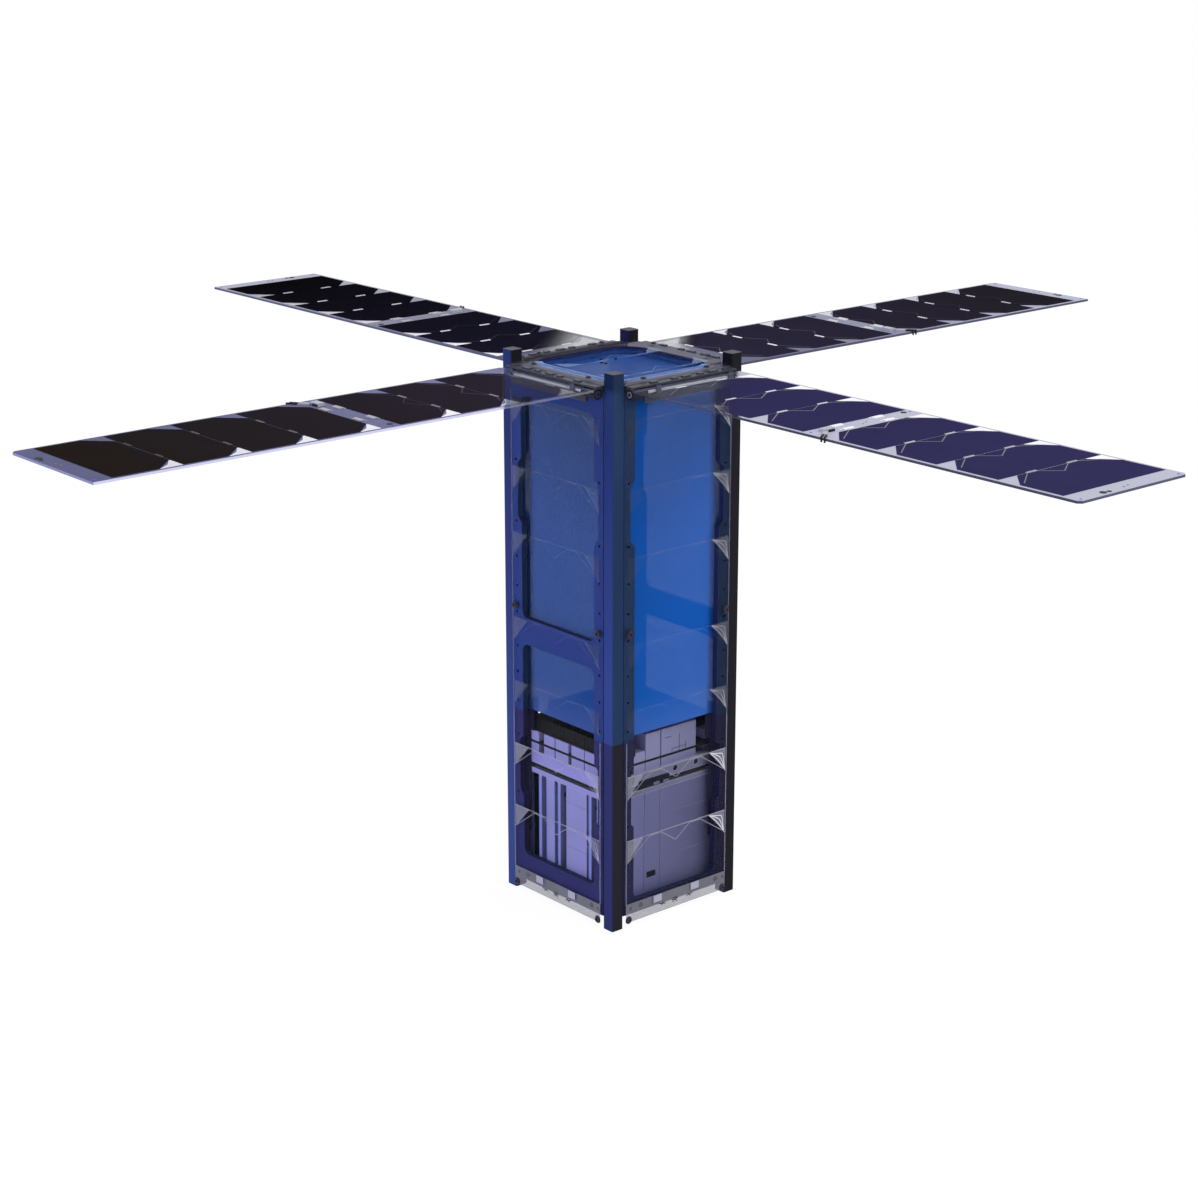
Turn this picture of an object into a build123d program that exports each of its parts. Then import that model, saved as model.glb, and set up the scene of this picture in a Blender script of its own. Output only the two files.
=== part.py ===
from build123d import *
import os
from collections import namedtuple

# Small cube-format satellite, three units tall, with four hinged solar wings.
# Millimetres. +Z is up, the origin is under the middle of the four rail feet.

os.makedirs("parts", exist_ok=True)

# Envelope and rails
bus_width = 100.0
bus_height = 340.5
rail_width = 8.5
rail_edge = 1.0
foot_hole_radius = 1.25
foot_hole_depth = 8.0

# Side plates, flush with the rails
plate_depth = 4.0
plate_bottom = 8.0
plate_top_inset = 11.3
window_margin = 8.2
window_wide_margin = 4.8
long_window_end = 16.2
long_window_corner = 6.0
short_window_end = 25.0
short_window_corner = 5.0
crossbar_height = 16.5
wide_zone_start = 70.75
wide_zone_end = 103.25
screw_inset = 3.45
screw_radius = 1.0
screw_hole_corners = 6
hole_offsets = (10.75, 27.25, 45.5, 67.75, 105.5)

# End frames
top_frame_height = 3.8
top_window_margin = 14.0
top_window_corner = 10.0
bottom_frame_height = 3.2
bottom_window_margin = 16.0
bottom_window_corner = 6.0

# Clear sheets over the sides and the top
sheet_gap = 0.3
sheet_thickness = 1.2
sheet_side_gap = 0.5
sheet_drop = 4.6
sheet_top_gap = 1.6
top_sheet_thickness = 1.4
clip_places = (-15.75, 14.75)
clip_width = 7.0
clip_height = 5.0
clip_rise = 10.0
clip_thickness = 0.8

# Payload and equipment stack
seat_gap = 0.3
stack_gap_x = 4.0
stack_gap_y = 1.0
stack_slack = 1.0
module_height = 67.4
panel_depth = 4.0
panel_seams = (-17.8, -5.3)
seam_width = 0.6
slot_place = -12.05
slot_rise = 13.9
slot_width = 7.5
slot_height = 4.0
slot_depth = 2.0
bar_depth = 7.0
clip_bar_drop = 8.1
clip_bar_height = 3.0
clip_bar_depth = 4.0
middle_plate_height = 3.1
board_lift = 1.8
boss_radius = 3.0
boss_inset = 12.0
boss_corners = 6
board_thickness = 1.6
bracket_height = 7.9
bracket_wall = 5.0
bracket_holes = (7.2, 24.2)
bracket_hole_radius = 1.9
bracket_hole_corners = 12
bracket_slot_place = -26.8
bracket_slot_width = 2.6
bracket_slot_height = 6.0
bracket_slot_corner = 0.8
lower_block_height = 5.2
short_block = 6.2
tall_block = 16.4
block_depth = 10.0
black_box_height = 9.0
black_box_gap = 0.4
black_box_inset = 1.0
payload_lift = 4.6

# Hinges. A station is a knuckle of the wing beside a lug of the body
pin_radius = 1.0
pin_slack = 0.08
pin_overhang = 0.5
pin_end_inset = 2.1
knuckle_radius = 2.2
knuckle_width = 5.0
knuckle_gap = 0.3
lug_corners = 8
lug_width = 3.0
end_lug_width = 1.4
end_lug_inset = 0.5
last_lug_inset = 4.5
lug_side_gap = 1.5
first_lug_gap = 7.7
flange_thickness = 1.0
flange_gap = 0.2
flange_overhang = 1.2
flange_side_inset = 1.0
bracket_drop = 6.9
spring_radius = 2.9
spring_length = 9.0
spring_end_gap = 0.9
spring_base_gap = 2.0
spring_back_gap = 0.9
spring_flange_gap = 0.4
leaf_thickness = 1.6
leaf_length = 11.0
leaf_side = 9.3
knuckle_neck = 1.0

# Wings
wing_root_gap = 0.3
wing_thickness = 1.4
wing_side_gap = 0.2
wing_edge = 2.3
root_strip = 11.8
middle_strip = 12.6
tip_strip = 11.2
tip_corner = 2.0
cell_thickness = 0.2
cell_pitch = 40.6
cell_gap = 0.8
cell_crop = 13.0
inner_cells = 3
outer_cells = 4

# Sizes that follow from the ones above
half = bus_width / 2
rail_inner = half - rail_width
inner_half = half - plate_depth
mid_level = bus_height / 2
plate_top = bus_height - plate_top_inset
top_level = plate_top + top_frame_height
sheet_inner = half + sheet_gap
sheet_outer = sheet_inner + sheet_thickness
sheet_bottom = plate_bottom - sheet_drop
module_bottom = plate_bottom + bottom_frame_height
module_top = module_bottom + module_height
stack_half_x = inner_half - stack_gap_x
stack_half_y = inner_half - stack_gap_y
module_half_x = stack_half_x - panel_depth
module_half_y = stack_half_y - bar_depth
hinge_standoff = spring_radius + spring_back_gap
hinge_reach = half + hinge_standoff
flange_level = top_level - flange_gap - flange_thickness
hinge_level = flange_level - spring_flange_gap - spring_radius
bracket_low = hinge_level - bracket_drop
sheet_top = bracket_low - sheet_top_gap
board_bottom = hinge_level + leaf_thickness
board_top = board_bottom + wing_thickness
wing_root = hinge_reach + spring_radius + wing_root_gap

# One row per side: its name, the way out, the way across to the right as
# seen from outside, the hand of its hinge and wing, and if it has a crossbar
Side = namedtuple("Side", "name out across hand crossbar")
sides = (
    Side("px", Vector(1, 0, 0), Vector(0, 1, 0), 1, False),
    Side("nx", Vector(-1, 0, 0), Vector(0, -1, 0), 1, False),
    Side("py", Vector(0, 1, 0), Vector(-1, 0, 0), -1, True),
    Side("ny", Vector(0, -1, 0), Vector(1, 0, 0), -1, True),
)


def face_plane(side, reach):
    """Upright plane facing outwards: x is across, y is the level."""
    return Plane(origin=side.out * reach, x_dir=side.across, z_dir=side.out)


def level_plane(side, level):
    """Flat plane facing up: x is the reach outwards, y is across."""
    return Plane(origin=(0, 0, level), x_dir=side.out, z_dir=(0, 0, 1))


def section_plane(side, across):
    """Upright plane across the hinge line: x is the reach, y is the level."""
    return Plane(origin=side.across * across, x_dir=side.out, z_dir=side.across * -1)


def between_rails(half_x, half_y, slack=0.0):
    """Adds a plate outline with its corners notched round the four rails."""
    Rectangle(2 * half_x, 2 * half_y)
    notch = 2 * (rail_width + slack)
    with GridLocations(bus_width, bus_width, 2, 2):
        Rectangle(notch, notch, mode=Mode.SUBTRACT)


def save(piece, name):
    piece.part.label = name
    export_step(piece.part, f"parts/{name}.step")


# Corner rails, each with a tapped hole in its foot
rail_centre = half - rail_width / 2
rails = {
    "rail_front": (1, -1),
    "rail_right": (1, 1),
    "rail_back": (-1, 1),
    "rail_left": (-1, -1),
}
for name, (sign_x, sign_y) in rails.items():
    with BuildPart() as rail:
        with BuildSketch():
            with Locations((sign_x * rail_centre, sign_y * rail_centre)):
                RectangleRounded(rail_width, rail_width, rail_edge)
        extrude(amount=bus_height)
        with BuildSketch():
            with Locations((sign_x * rail_centre, sign_y * rail_centre)):
                Circle(foot_hole_radius)
        extrude(amount=foot_hole_depth, mode=Mode.SUBTRACT)
    save(rail, name)


def window_sketch(low, high, corner):
    """A window with its two wider stretches, as far as they lie in it."""
    narrow = rail_inner - window_margin
    wide = rail_inner - window_wide_margin
    with BuildSketch(mode=Mode.PRIVATE) as window:
        with Locations((0, (low + high) / 2)):
            RectangleRounded(2 * narrow, high - low, corner)
        for sign in (1, -1):
            start = mid_level + sign * wide_zone_start
            end = mid_level + sign * wide_zone_end
            if low < start < high:
                outline = [
                    (narrow, start - sign * (wide - narrow)),
                    (wide, start),
                    (wide, end),
                    (narrow, end + sign * (wide - narrow)),
                ]
                mirrored = [(-x, y) for x, y in reversed(outline)]
                with BuildLine():
                    Polyline(outline + mirrored, close=True)
                make_face()
    return window.sketch


# Side plates between the rails. Their many small screw holes have few corners
screw_line = rail_inner - screw_inset
screw_holes = [(x, mid_level + s * o) for x in (-screw_line, screw_line) for s in (1, -1) for o in hole_offsets]
for side in sides:
    with BuildPart() as plate:
        with BuildSketch(face_plane(side, inner_half)):
            with Locations((0, (plate_bottom + plate_top) / 2)):
                Rectangle(2 * rail_inner, plate_top - plate_bottom)
            if side.crossbar:
                lower_top = mid_level - crossbar_height / 2
                upper_bottom = mid_level + crossbar_height / 2
                upper_top = bus_height - short_window_end
                add(window_sketch(short_window_end, lower_top, short_window_corner), mode=Mode.SUBTRACT)
                add(window_sketch(upper_bottom, upper_top, short_window_corner), mode=Mode.SUBTRACT)
            else:
                long_top = bus_height - long_window_end
                add(window_sketch(long_window_end, long_top, long_window_corner), mode=Mode.SUBTRACT)
            with Locations(*screw_holes):
                RegularPolygon(screw_radius, screw_hole_corners, mode=Mode.SUBTRACT)
        extrude(amount=plate_depth)
    save(plate, f"side_plate_{side.name}")

# Top frame on the side plates, between the rails
with BuildPart() as top_frame:
    with BuildSketch(Plane.XY.offset(plate_top)):
        between_rails(half, half)
        top_window = 2 * (half - top_window_margin)
        RectangleRounded(top_window, top_window, top_window_corner, mode=Mode.SUBTRACT)
    extrude(amount=top_frame_height)
save(top_frame, "top_frame")

# Bottom frame inside the side plates
with BuildPart() as bottom_frame:
    with BuildSketch(Plane.XY.offset(plate_bottom)):
        between_rails(inner_half, inner_half)
        bottom_window = 2 * (inner_half - bottom_window_margin)
        RectangleRounded(bottom_window, bottom_window, bottom_window_corner, mode=Mode.SUBTRACT)
    extrude(amount=bottom_frame_height)
save(bottom_frame, "bottom_frame")

# Clear sheets over the four sides, with two low clips on each
for side in sides:
    with BuildPart() as sheet:
        with BuildSketch(face_plane(side, sheet_inner)):
            with Locations((0, (sheet_bottom + sheet_top) / 2)):
                Rectangle(2 * (rail_inner - sheet_side_gap), sheet_top - sheet_bottom)
        extrude(amount=sheet_thickness)
        with BuildSketch(face_plane(side, sheet_outer)):
            with Locations(*[(x, sheet_bottom + clip_rise) for x in clip_places]):
                Rectangle(clip_width, clip_height)
        extrude(amount=clip_thickness)
    save(sheet, f"clear_sheet_{side.name}")

# Clear top sheet, notched round the rails
with BuildPart() as top_sheet:
    with BuildSketch(Plane.XY.offset(top_level)):
        between_rails(half, half, sheet_gap)
    extrude(amount=top_sheet_thickness)
save(top_sheet, "clear_sheet_top")


def fitting(places, limit):
    """Keeps the places, as start and end, that lie within a limit each way."""
    return [(start, end) for start, end in places if -limit <= start and end <= limit]


# Lower module: a dark core, standing on the bottom frame
with BuildPart() as core:
    with BuildSketch(Plane.XY.offset(module_bottom)):
        Rectangle(2 * module_half_x, 2 * module_half_y)
    extrude(amount=module_height)
save(core, "lower_module_core")

# Pale panels on the core, parted by seams, with one slot
module_middle = module_bottom + module_height / 2
with BuildPart() as panels:
    for side in sides[:2]:
        with BuildSketch(face_plane(side, module_half_x)):
            with Locations((0, module_middle)):
                Rectangle(2 * module_half_y, module_height)
            with Locations(*[(x, module_middle) for x in panel_seams]):
                Rectangle(seam_width, module_height, mode=Mode.SUBTRACT)
        extrude(amount=panel_depth)
        with BuildSketch(face_plane(side, stack_half_x)):
            with Locations((slot_place, module_bottom + slot_rise)):
                Rectangle(slot_width, slot_height)
        extrude(amount=-slot_depth, mode=Mode.SUBTRACT)
save(panels, "lower_module_panels")

# Upright bars on the two other sides of the core, and the dark clips across
# them, each as start and end across the side
upright_bars = ((-24.6, -22.0), (-17.6, -9.6), (-6.6, -4.0), (1.4, 20.4), (22.4, 25.0), (30.0, 37.0))
clip_bars = ((-4.0, 1.4), (25.0, 30.0))
with BuildPart() as bars:
    for side in sides[2:]:
        with BuildSketch(face_plane(side, module_half_y)):
            for start, end in fitting(upright_bars, module_half_x):
                with Locations(((start + end) / 2, module_middle)):
                    Rectangle(end - start, module_height)
        extrude(amount=bar_depth)
save(bars, "lower_module_bars")
with BuildPart() as clips:
    for side in sides[2:]:
        with BuildSketch(face_plane(side, module_half_y)):
            for start, end in fitting(clip_bars, module_half_x):
                with Locations(((start + end) / 2, module_top - clip_bar_drop)):
                    Rectangle(end - start, clip_bar_height)
        extrude(amount=clip_bar_depth)
save(clips, "lower_module_clips")

# Plate over the lower module, with four hexagon bosses under the lower board
plate_level = module_top + middle_plate_height
board_level = plate_level + board_lift
with BuildPart() as middle_plate:
    with BuildSketch(Plane.XY.offset(module_top)):
        between_rails(stack_half_x, stack_half_y, stack_slack)
    extrude(amount=middle_plate_height)
    with BuildSketch(Plane.XY.offset(plate_level)):
        with GridLocations(2 * (stack_half_x - boss_inset), 2 * (stack_half_y - boss_inset), 2, 2):
            RegularPolygon(boss_radius, boss_corners)
    extrude(amount=board_lift)
save(middle_plate, "middle_plate")

# Two dark circuit boards, one under the bracket frame and one between the blocks
bracket_level = board_level + board_thickness
lower_block_level = bracket_level + bracket_height
upper_board_level = lower_block_level + lower_block_height
with BuildPart() as boards:
    for level in (board_level, upper_board_level):
        with BuildSketch(Plane.XY.offset(level)):
            between_rails(stack_half_x, stack_half_y, stack_slack)
        extrude(amount=board_thickness)
save(boards, "circuit_boards")

# Bracket frame on the lower board, with a slot and two holes on each x side
bracket_middle = bracket_level + bracket_height / 2
with BuildPart() as bracket:
    with BuildSketch(Plane.XY.offset(bracket_level)):
        between_rails(stack_half_x, stack_half_y, stack_slack)
        Rectangle(2 * (stack_half_x - bracket_wall), 2 * (stack_half_y - bracket_wall), mode=Mode.SUBTRACT)
    extrude(amount=bracket_height)
    for side in sides[:2]:
        with BuildSketch(face_plane(side, stack_half_x)):
            with Locations(*[(x, bracket_middle) for x in bracket_holes]):
                RegularPolygon(bracket_hole_radius, bracket_hole_corners)
            with Locations((bracket_slot_place, bracket_middle)):
                slot = Rectangle(bracket_slot_width, bracket_slot_height)
            chamfer(slot.vertices(), bracket_slot_corner)
        extrude(amount=-bracket_wall, mode=Mode.SUBTRACT)
save(bracket, "bracket_frame")

# Pale blocks below and above the upper board, as start and end across each
# side. Above the board the x sides have one short block and two tall ones,
# which reach up beside the black box, and the y sides have short ones
short_side_blocks = ((-26.3, -17.6),)
tall_side_blocks = ((-17.0, -5.3), (-4.3, 23.7))
front_blocks = ((-37.6, -24.6), (-19.6, -9.6), (-8.6, 3.4), (6.4, 18.0), (18.8, 37.6))
upper_block_level = upper_board_level + board_thickness
block_limit = rail_inner - stack_slack
with BuildPart() as blocks:
    for side in sides:
        reach = stack_half_y if side.crossbar else stack_half_x
        short = front_blocks if side.crossbar else short_side_blocks
        tall = () if side.crossbar else tall_side_blocks
        rows = (
            (lower_block_level, lower_block_height, short + tall),
            (upper_block_level, short_block, short),
            (upper_block_level, tall_block, tall),
        )
        for level, height, places in rows:
            for start, end in fitting(places, block_limit):
                with BuildSketch(level_plane(side, level)):
                    with Locations((reach - block_depth / 2, (start + end) / 2)):
                        Rectangle(block_depth, end - start)
                extrude(amount=height)
save(blocks, "pale_blocks")

# Black box on the short blocks, between the tall ones
black_box_level = upper_block_level + short_block
black_box_half_x = stack_half_x - block_depth - black_box_gap
black_box_half_y = stack_half_y - black_box_inset
with BuildPart() as black_box:
    with BuildSketch(Plane.XY.offset(black_box_level)):
        Rectangle(2 * black_box_half_x, 2 * black_box_half_y)
    extrude(amount=black_box_height)
save(black_box, "black_box")

# Clear blue payload block in the upper two units, clear of plates and rails
payload_half = inner_half - seat_gap
payload_bottom = black_box_level + black_box_height + payload_lift
with BuildPart() as payload:
    with BuildSketch(Plane.XY.offset(payload_bottom)):
        between_rails(payload_half, payload_half, seat_gap)
    extrude(amount=plate_top - seat_gap - payload_bottom)
save(payload, "payload_block")

# Places along the hinge line, from the spring end, for a hinge of hand 1
bracket_half_width = rail_inner - flange_side_inset
station = lug_width / 2 + lug_side_gap + knuckle_width / 2
end_lug = -bracket_half_width + end_lug_inset
spring_start = end_lug + end_lug_width / 2 + spring_end_gap
spring_end = spring_start + spring_length
first_lug = spring_end + first_lug_gap + lug_width / 2
last_lug = bracket_half_width - last_lug_inset
lugs = ((end_lug, end_lug_width), (first_lug, lug_width), (last_lug, lug_width))
knuckles = (first_lug + station, last_lug - station)
pin_start = -bracket_half_width - pin_overhang
pin_end = bracket_half_width - pin_end_inset
leaf_start = first_lug + station - leaf_side
leaf_end = last_lug

# Reaches along a wing, from its root
cells_start = wing_root + root_strip
outer_start = cells_start + inner_cells * cell_pitch + middle_strip
wing_tip = outer_start + outer_cells * cell_pitch + tip_strip
wing_half_width = rail_inner - wing_side_gap
cell_half_width = wing_half_width - wing_edge

for side in sides:
    # Fixed bracket: base strip, flange along the top, and lugs round the pin
    base_start = spring_end + spring_base_gap
    base_thickness = hinge_standoff - knuckle_radius - knuckle_gap
    base_width = bracket_half_width - base_start
    flange_reach = hinge_reach + flange_overhang
    with BuildPart() as hinge:
        with BuildSketch(face_plane(side, half)):
            with Locations((side.hand * (base_start + base_width / 2), (bracket_low + flange_level) / 2)):
                Rectangle(base_width, flange_level - bracket_low)
        extrude(amount=base_thickness)
        with BuildSketch(face_plane(side, half)):
            with Locations((0, flange_level + flange_thickness / 2)):
                Rectangle(2 * bracket_half_width, flange_thickness)
        extrude(amount=flange_reach - half)
        for place, width in lugs:
            with BuildSketch(section_plane(side, side.hand * place)):
                with Locations((hinge_reach, hinge_level)):
                    RegularPolygon(knuckle_radius, lug_corners)
                with BuildLine():
                    Polyline(
                        (half, flange_level),
                        (half, hinge_level),
                        (hinge_reach, hinge_level - knuckle_radius),
                        (hinge_reach + knuckle_radius, hinge_level),
                        (flange_reach, flange_level),
                        close=True,
                    )
                make_face()
                with Locations((hinge_reach, hinge_level)):
                    Circle(pin_radius, mode=Mode.SUBTRACT)
            extrude(amount=width / 2, both=True)
    save(hinge, f"hinge_bracket_{side.name}")

    # Pin, and the spring sleeve round its end
    with BuildPart() as pin:
        with BuildSketch(section_plane(side, side.hand * pin_start)):
            with Locations((hinge_reach, hinge_level)):
                Circle(pin_radius)
        extrude(amount=-side.hand * (pin_end - pin_start))
    save(pin, f"hinge_pin_{side.name}")
    with BuildPart() as spring:
        with BuildSketch(section_plane(side, side.hand * (spring_start + spring_end) / 2)):
            with Locations((hinge_reach, hinge_level)):
                Circle(spring_radius)
                Circle(pin_radius + pin_slack, mode=Mode.SUBTRACT)
        extrude(amount=spring_length / 2, both=True)
    save(spring, f"hinge_spring_{side.name}")

    # Moving leaf under the board, with its knuckles on the pin
    neck_reach = wing_root + knuckle_neck
    with BuildPart() as leaf:
        with BuildSketch(level_plane(side, hinge_level)):
            with Locations((wing_root + leaf_length / 2, side.hand * (leaf_start + leaf_end) / 2)):
                Rectangle(leaf_length, leaf_end - leaf_start)
        extrude(amount=leaf_thickness)
        for place in knuckles:
            with BuildSketch(section_plane(side, side.hand * place)):
                with Locations((hinge_reach, hinge_level)):
                    Circle(knuckle_radius)
                with BuildLine():
                    Polyline(
                        (hinge_reach, hinge_level - leaf_thickness),
                        (neck_reach, hinge_level),
                        (neck_reach, board_bottom),
                        (hinge_reach, board_bottom),
                        close=True,
                    )
                make_face()
                with Locations((hinge_reach, hinge_level)):
                    Circle(pin_radius + pin_slack, mode=Mode.SUBTRACT)
            extrude(amount=knuckle_width / 2, both=True)
    save(leaf, f"wing_leaf_{side.name}")

    # Wing board
    with BuildPart() as wing:
        with BuildSketch(level_plane(side, board_bottom)):
            with Locations(((wing_root + wing_tip) / 2, 0)):
                outline = Rectangle(wing_tip - wing_root, 2 * wing_half_width)
            chamfer(outline.vertices().group_by(lambda corner: side.out.dot(Vector(*corner)))[-1], tip_corner)
        extrude(amount=wing_thickness)
    save(wing, f"wing_board_{side.name}")

    # Solar cells, cropped at their corners towards the root
    starts = [cells_start + i * cell_pitch for i in range(inner_cells)]
    starts += [outer_start + i * cell_pitch for i in range(outer_cells)]
    with BuildPart() as cells:
        with BuildSketch(level_plane(side, board_top)):
            for start in starts:
                end = start + cell_pitch - cell_gap
                edge = cell_half_width
                with BuildLine():
                    Polyline(
                        (start, -edge + cell_crop),
                        (start + cell_crop, -edge),
                        (end, -edge),
                        (end, edge),
                        (start + cell_crop, edge),
                        (start, edge - cell_crop),
                        close=True,
                    )
                make_face()
        extrude(amount=cell_thickness)
    save(cells, f"wing_cells_{side.name}")
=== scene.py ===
import math

import bmesh
import bpy
from mathutils import Matrix, Vector


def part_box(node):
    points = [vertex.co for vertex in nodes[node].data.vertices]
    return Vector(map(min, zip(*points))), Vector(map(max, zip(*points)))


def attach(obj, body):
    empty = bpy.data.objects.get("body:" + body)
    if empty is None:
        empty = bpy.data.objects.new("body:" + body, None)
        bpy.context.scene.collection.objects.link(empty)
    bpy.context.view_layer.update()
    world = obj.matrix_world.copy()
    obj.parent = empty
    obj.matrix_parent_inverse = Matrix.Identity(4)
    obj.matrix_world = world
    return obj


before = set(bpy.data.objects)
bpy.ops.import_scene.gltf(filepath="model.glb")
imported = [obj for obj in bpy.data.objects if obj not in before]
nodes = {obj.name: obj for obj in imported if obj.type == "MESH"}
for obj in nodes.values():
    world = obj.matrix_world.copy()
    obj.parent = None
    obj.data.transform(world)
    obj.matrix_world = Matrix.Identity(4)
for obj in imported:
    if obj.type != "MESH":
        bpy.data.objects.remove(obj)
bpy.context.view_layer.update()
mm = 0.001
sideTurns = {"px": 0, "py": 90, "nx": 180, "ny": 270}  # degrees about Z from the +X side


def inMetres(sizes):
    # Sizes in mm, alone or in tables, turned to metres
    if isinstance(sizes, dict):
        return {name: inMetres(size) for name, size in sizes.items()}
    return tuple(inMetres(size) for size in sizes) if isinstance(sizes, tuple) else sizes * mm


# Node helpers

def feed(tree, node, values):
    # Sets or links a node's inputs, by name or number
    for label, value in values.items():
        socket = node.inputs[label]
        if isinstance(value, bpy.types.NodeSocket):
            tree.links.new(value, socket)
        else:
            socket.default_value = (*value, 1.0) if socket.type == "RGBA" else value
    return node


def addNode(tree, kind, values=None, **settings):
    node = tree.nodes.new(kind)
    for name, value in settings.items():
        setattr(node, name, value)
    return feed(tree, node, values or {})


def mathNode(tree, operation, *values):
    return addNode(tree, "ShaderNodeMath", dict(enumerate(values)), operation=operation).outputs[0]


def vectorNode(tree, operation, values):
    return addNode(tree, "ShaderNodeVectorMath", values, operation=operation).outputs


def scaled(tree, color, factor):
    return vectorNode(tree, "SCALE", {0: color, "Scale": factor})[0]


def mixColor(tree, factor, first, second):
    return addNode(tree, "ShaderNodeMix", {0: factor, 6: first, 7: second}, data_type="RGBA").outputs[2]


def mapped(tree, value, start, end, low=0.0, high=1.0, **settings):
    sizes = {"Value": value, "From Min": start, "From Max": end, "To Min": low, "To Max": high}
    return addNode(tree, "ShaderNodeMapRange", sizes, **settings).outputs["Result"]


def axisParts(tree, vector):
    return addNode(tree, "ShaderNodeSeparateXYZ", {0: vector}).outputs


def facesOut(tree):
    return addNode(tree, "ShaderNodeNewGeometry").outputs["Normal"]


def objectPlace(tree):
    return addNode(tree, "ShaderNodeTexCoord").outputs["Object"]


def noise(tree, scale, detail):
    sizes = {"Vector": objectPlace(tree), "Scale": scale, "Detail": detail}
    return addNode(tree, "ShaderNodeTexNoise", sizes).outputs["Fac"]


def runAlong(tree, axis, start, end, low=0.0, high=1.0):
    # A value that runs from low to high between two places along X, Y or Z
    return mapped(tree, axisParts(tree, objectPlace(tree))[axis], start, end, low, high)


def aboveLevel(tree, level, low=0.0, high=1.0, soft=0.0004):
    # One value below a level on the object, another above it
    return runAlong(tree, "Z", level - soft, level + soft, low, high)


def newGroup(name, inputs, outputs, kind="ShaderNodeTree"):
    # A node group; its inputs are given as name, kind and, in a shader, value
    tree = bpy.data.node_groups.new(name, kind)
    for label, socketKind, *value in inputs:
        socket = tree.interface.new_socket(label, in_out="INPUT", socket_type="NodeSocket" + socketKind)
        if value:
            socket.default_value = value[0]
    for label, socketKind in outputs:
        tree.interface.new_socket(label, in_out="OUTPUT", socket_type="NodeSocket" + socketKind)
    return tree, tree.nodes.new("NodeGroupInput").outputs, tree.nodes.new("NodeGroupOutput")


def startMaterial(name):
    material = bpy.data.materials.new(name)
    material.use_nodes = True
    tree = material.node_tree
    return material, tree, tree.nodes["Principled BSDF"]


# Camera, floor, lamps and world

studio = {
    "cameraPlace": (1.12526, -0.98223, 0.64482),
    "cameraTurn": (72.98, 0.0, 49.398),  # degrees
    "lens": 77.64,
    "sensor": 36.0,
    "floorSize": 60.0,
    "floorColor": (0.92, 0.92, 0.92),
    "floorShadow": 0.08,  # share of the floor's white that shade can take away
    "floorGlow": 1.04,
    "worldLevel": 0.62,
    "lampTarget": (0.0, 0.0, 0.2),
    "lamps": {  # place, size, power and colour
        "keyLamp": ((1.6, 0.9, 2.2), 1.6, 34.0, (1.0, 1.0, 1.0)),
        "sideLamp": ((-0.9, -2.2, 0.9), 1.4, 20.0, (0.72, 0.8, 1.0)),
    },
}


def link(name, data):
    thing = bpy.data.objects.new(name, data)
    bpy.context.scene.collection.objects.link(thing)
    return thing


def addCamera():
    data = bpy.data.cameras.new("camera")
    data.lens = studio["lens"]
    data.sensor_width = studio["sensor"]
    data.sensor_fit = "HORIZONTAL"
    camera = link("camera", data)
    camera.location = studio["cameraPlace"]
    camera.rotation_euler = [math.radians(a) for a in studio["cameraTurn"]]
    bpy.context.scene.camera = camera


def addLamp(name, place, size, power, color):
    data = bpy.data.lights.new(name, "AREA")
    data.size = size
    data.energy = power
    data.color = color
    lamp = link(name, data)
    lamp.location = place
    towards = Vector(studio["lampTarget"]) - Vector(place)
    lamp.rotation_euler = towards.to_track_quat("-Z", "Y").to_euler()


def showsBackground(tree):
    # 1 for camera, glossy and transmission rays, which see plain white
    rays = addNode(tree, "ShaderNodeLightPath").outputs
    both = mathNode(tree, "MAXIMUM", rays["Is Camera Ray"], rays["Is Glossy Ray"])
    return mathNode(tree, "MAXIMUM", both, rays["Is Transmission Ray"])


def addWorld():
    world = bpy.data.worlds.new("studio")
    world.use_nodes = True
    tree = world.node_tree
    level = addNode(tree, "ShaderNodeMix", {"Factor": showsBackground(tree), "A": studio["worldLevel"], "B": 1.0})
    feed(tree, tree.nodes["Background"], {"Strength": level.outputs["Result"], "Color": (1, 1, 1)})
    bpy.context.scene.world = world


def addFloor():
    half = studio["floorSize"] / 2
    mesh = bpy.data.meshes.new("floor")
    mesh.from_pydata([(-half, -half, 0), (half, -half, 0), (half, half, 0), (-half, half, 0)], [], [(0, 1, 2, 3)])
    material, tree, shader = startMaterial("paleFloor")
    tree.nodes.remove(shader)
    lit = addNode(tree, "ShaderNodeBsdfDiffuse", {"Color": studio["floorColor"]})
    glow = addNode(tree, "ShaderNodeEmission", {"Strength": studio["floorGlow"]})
    share = mathNode(tree, "MULTIPLY", showsBackground(tree), 1 - studio["floorShadow"])
    mix = addNode(tree, "ShaderNodeMixShader", {"Fac": share, 1: lit.outputs[0], 2: glow.outputs[0]})
    feed(tree, tree.nodes["Material Output"], {"Surface": mix.outputs[0]})
    mesh.materials.append(material)
    floor = link("floor", mesh)


addCamera()
for lampName, lampLook in studio["lamps"].items():
    addLamp(lampName, *lampLook)
addWorld()
addFloor()
bpy.context.scene.view_settings.view_transform = "Standard"
print("studio ready")


# Shared shader groups

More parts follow.
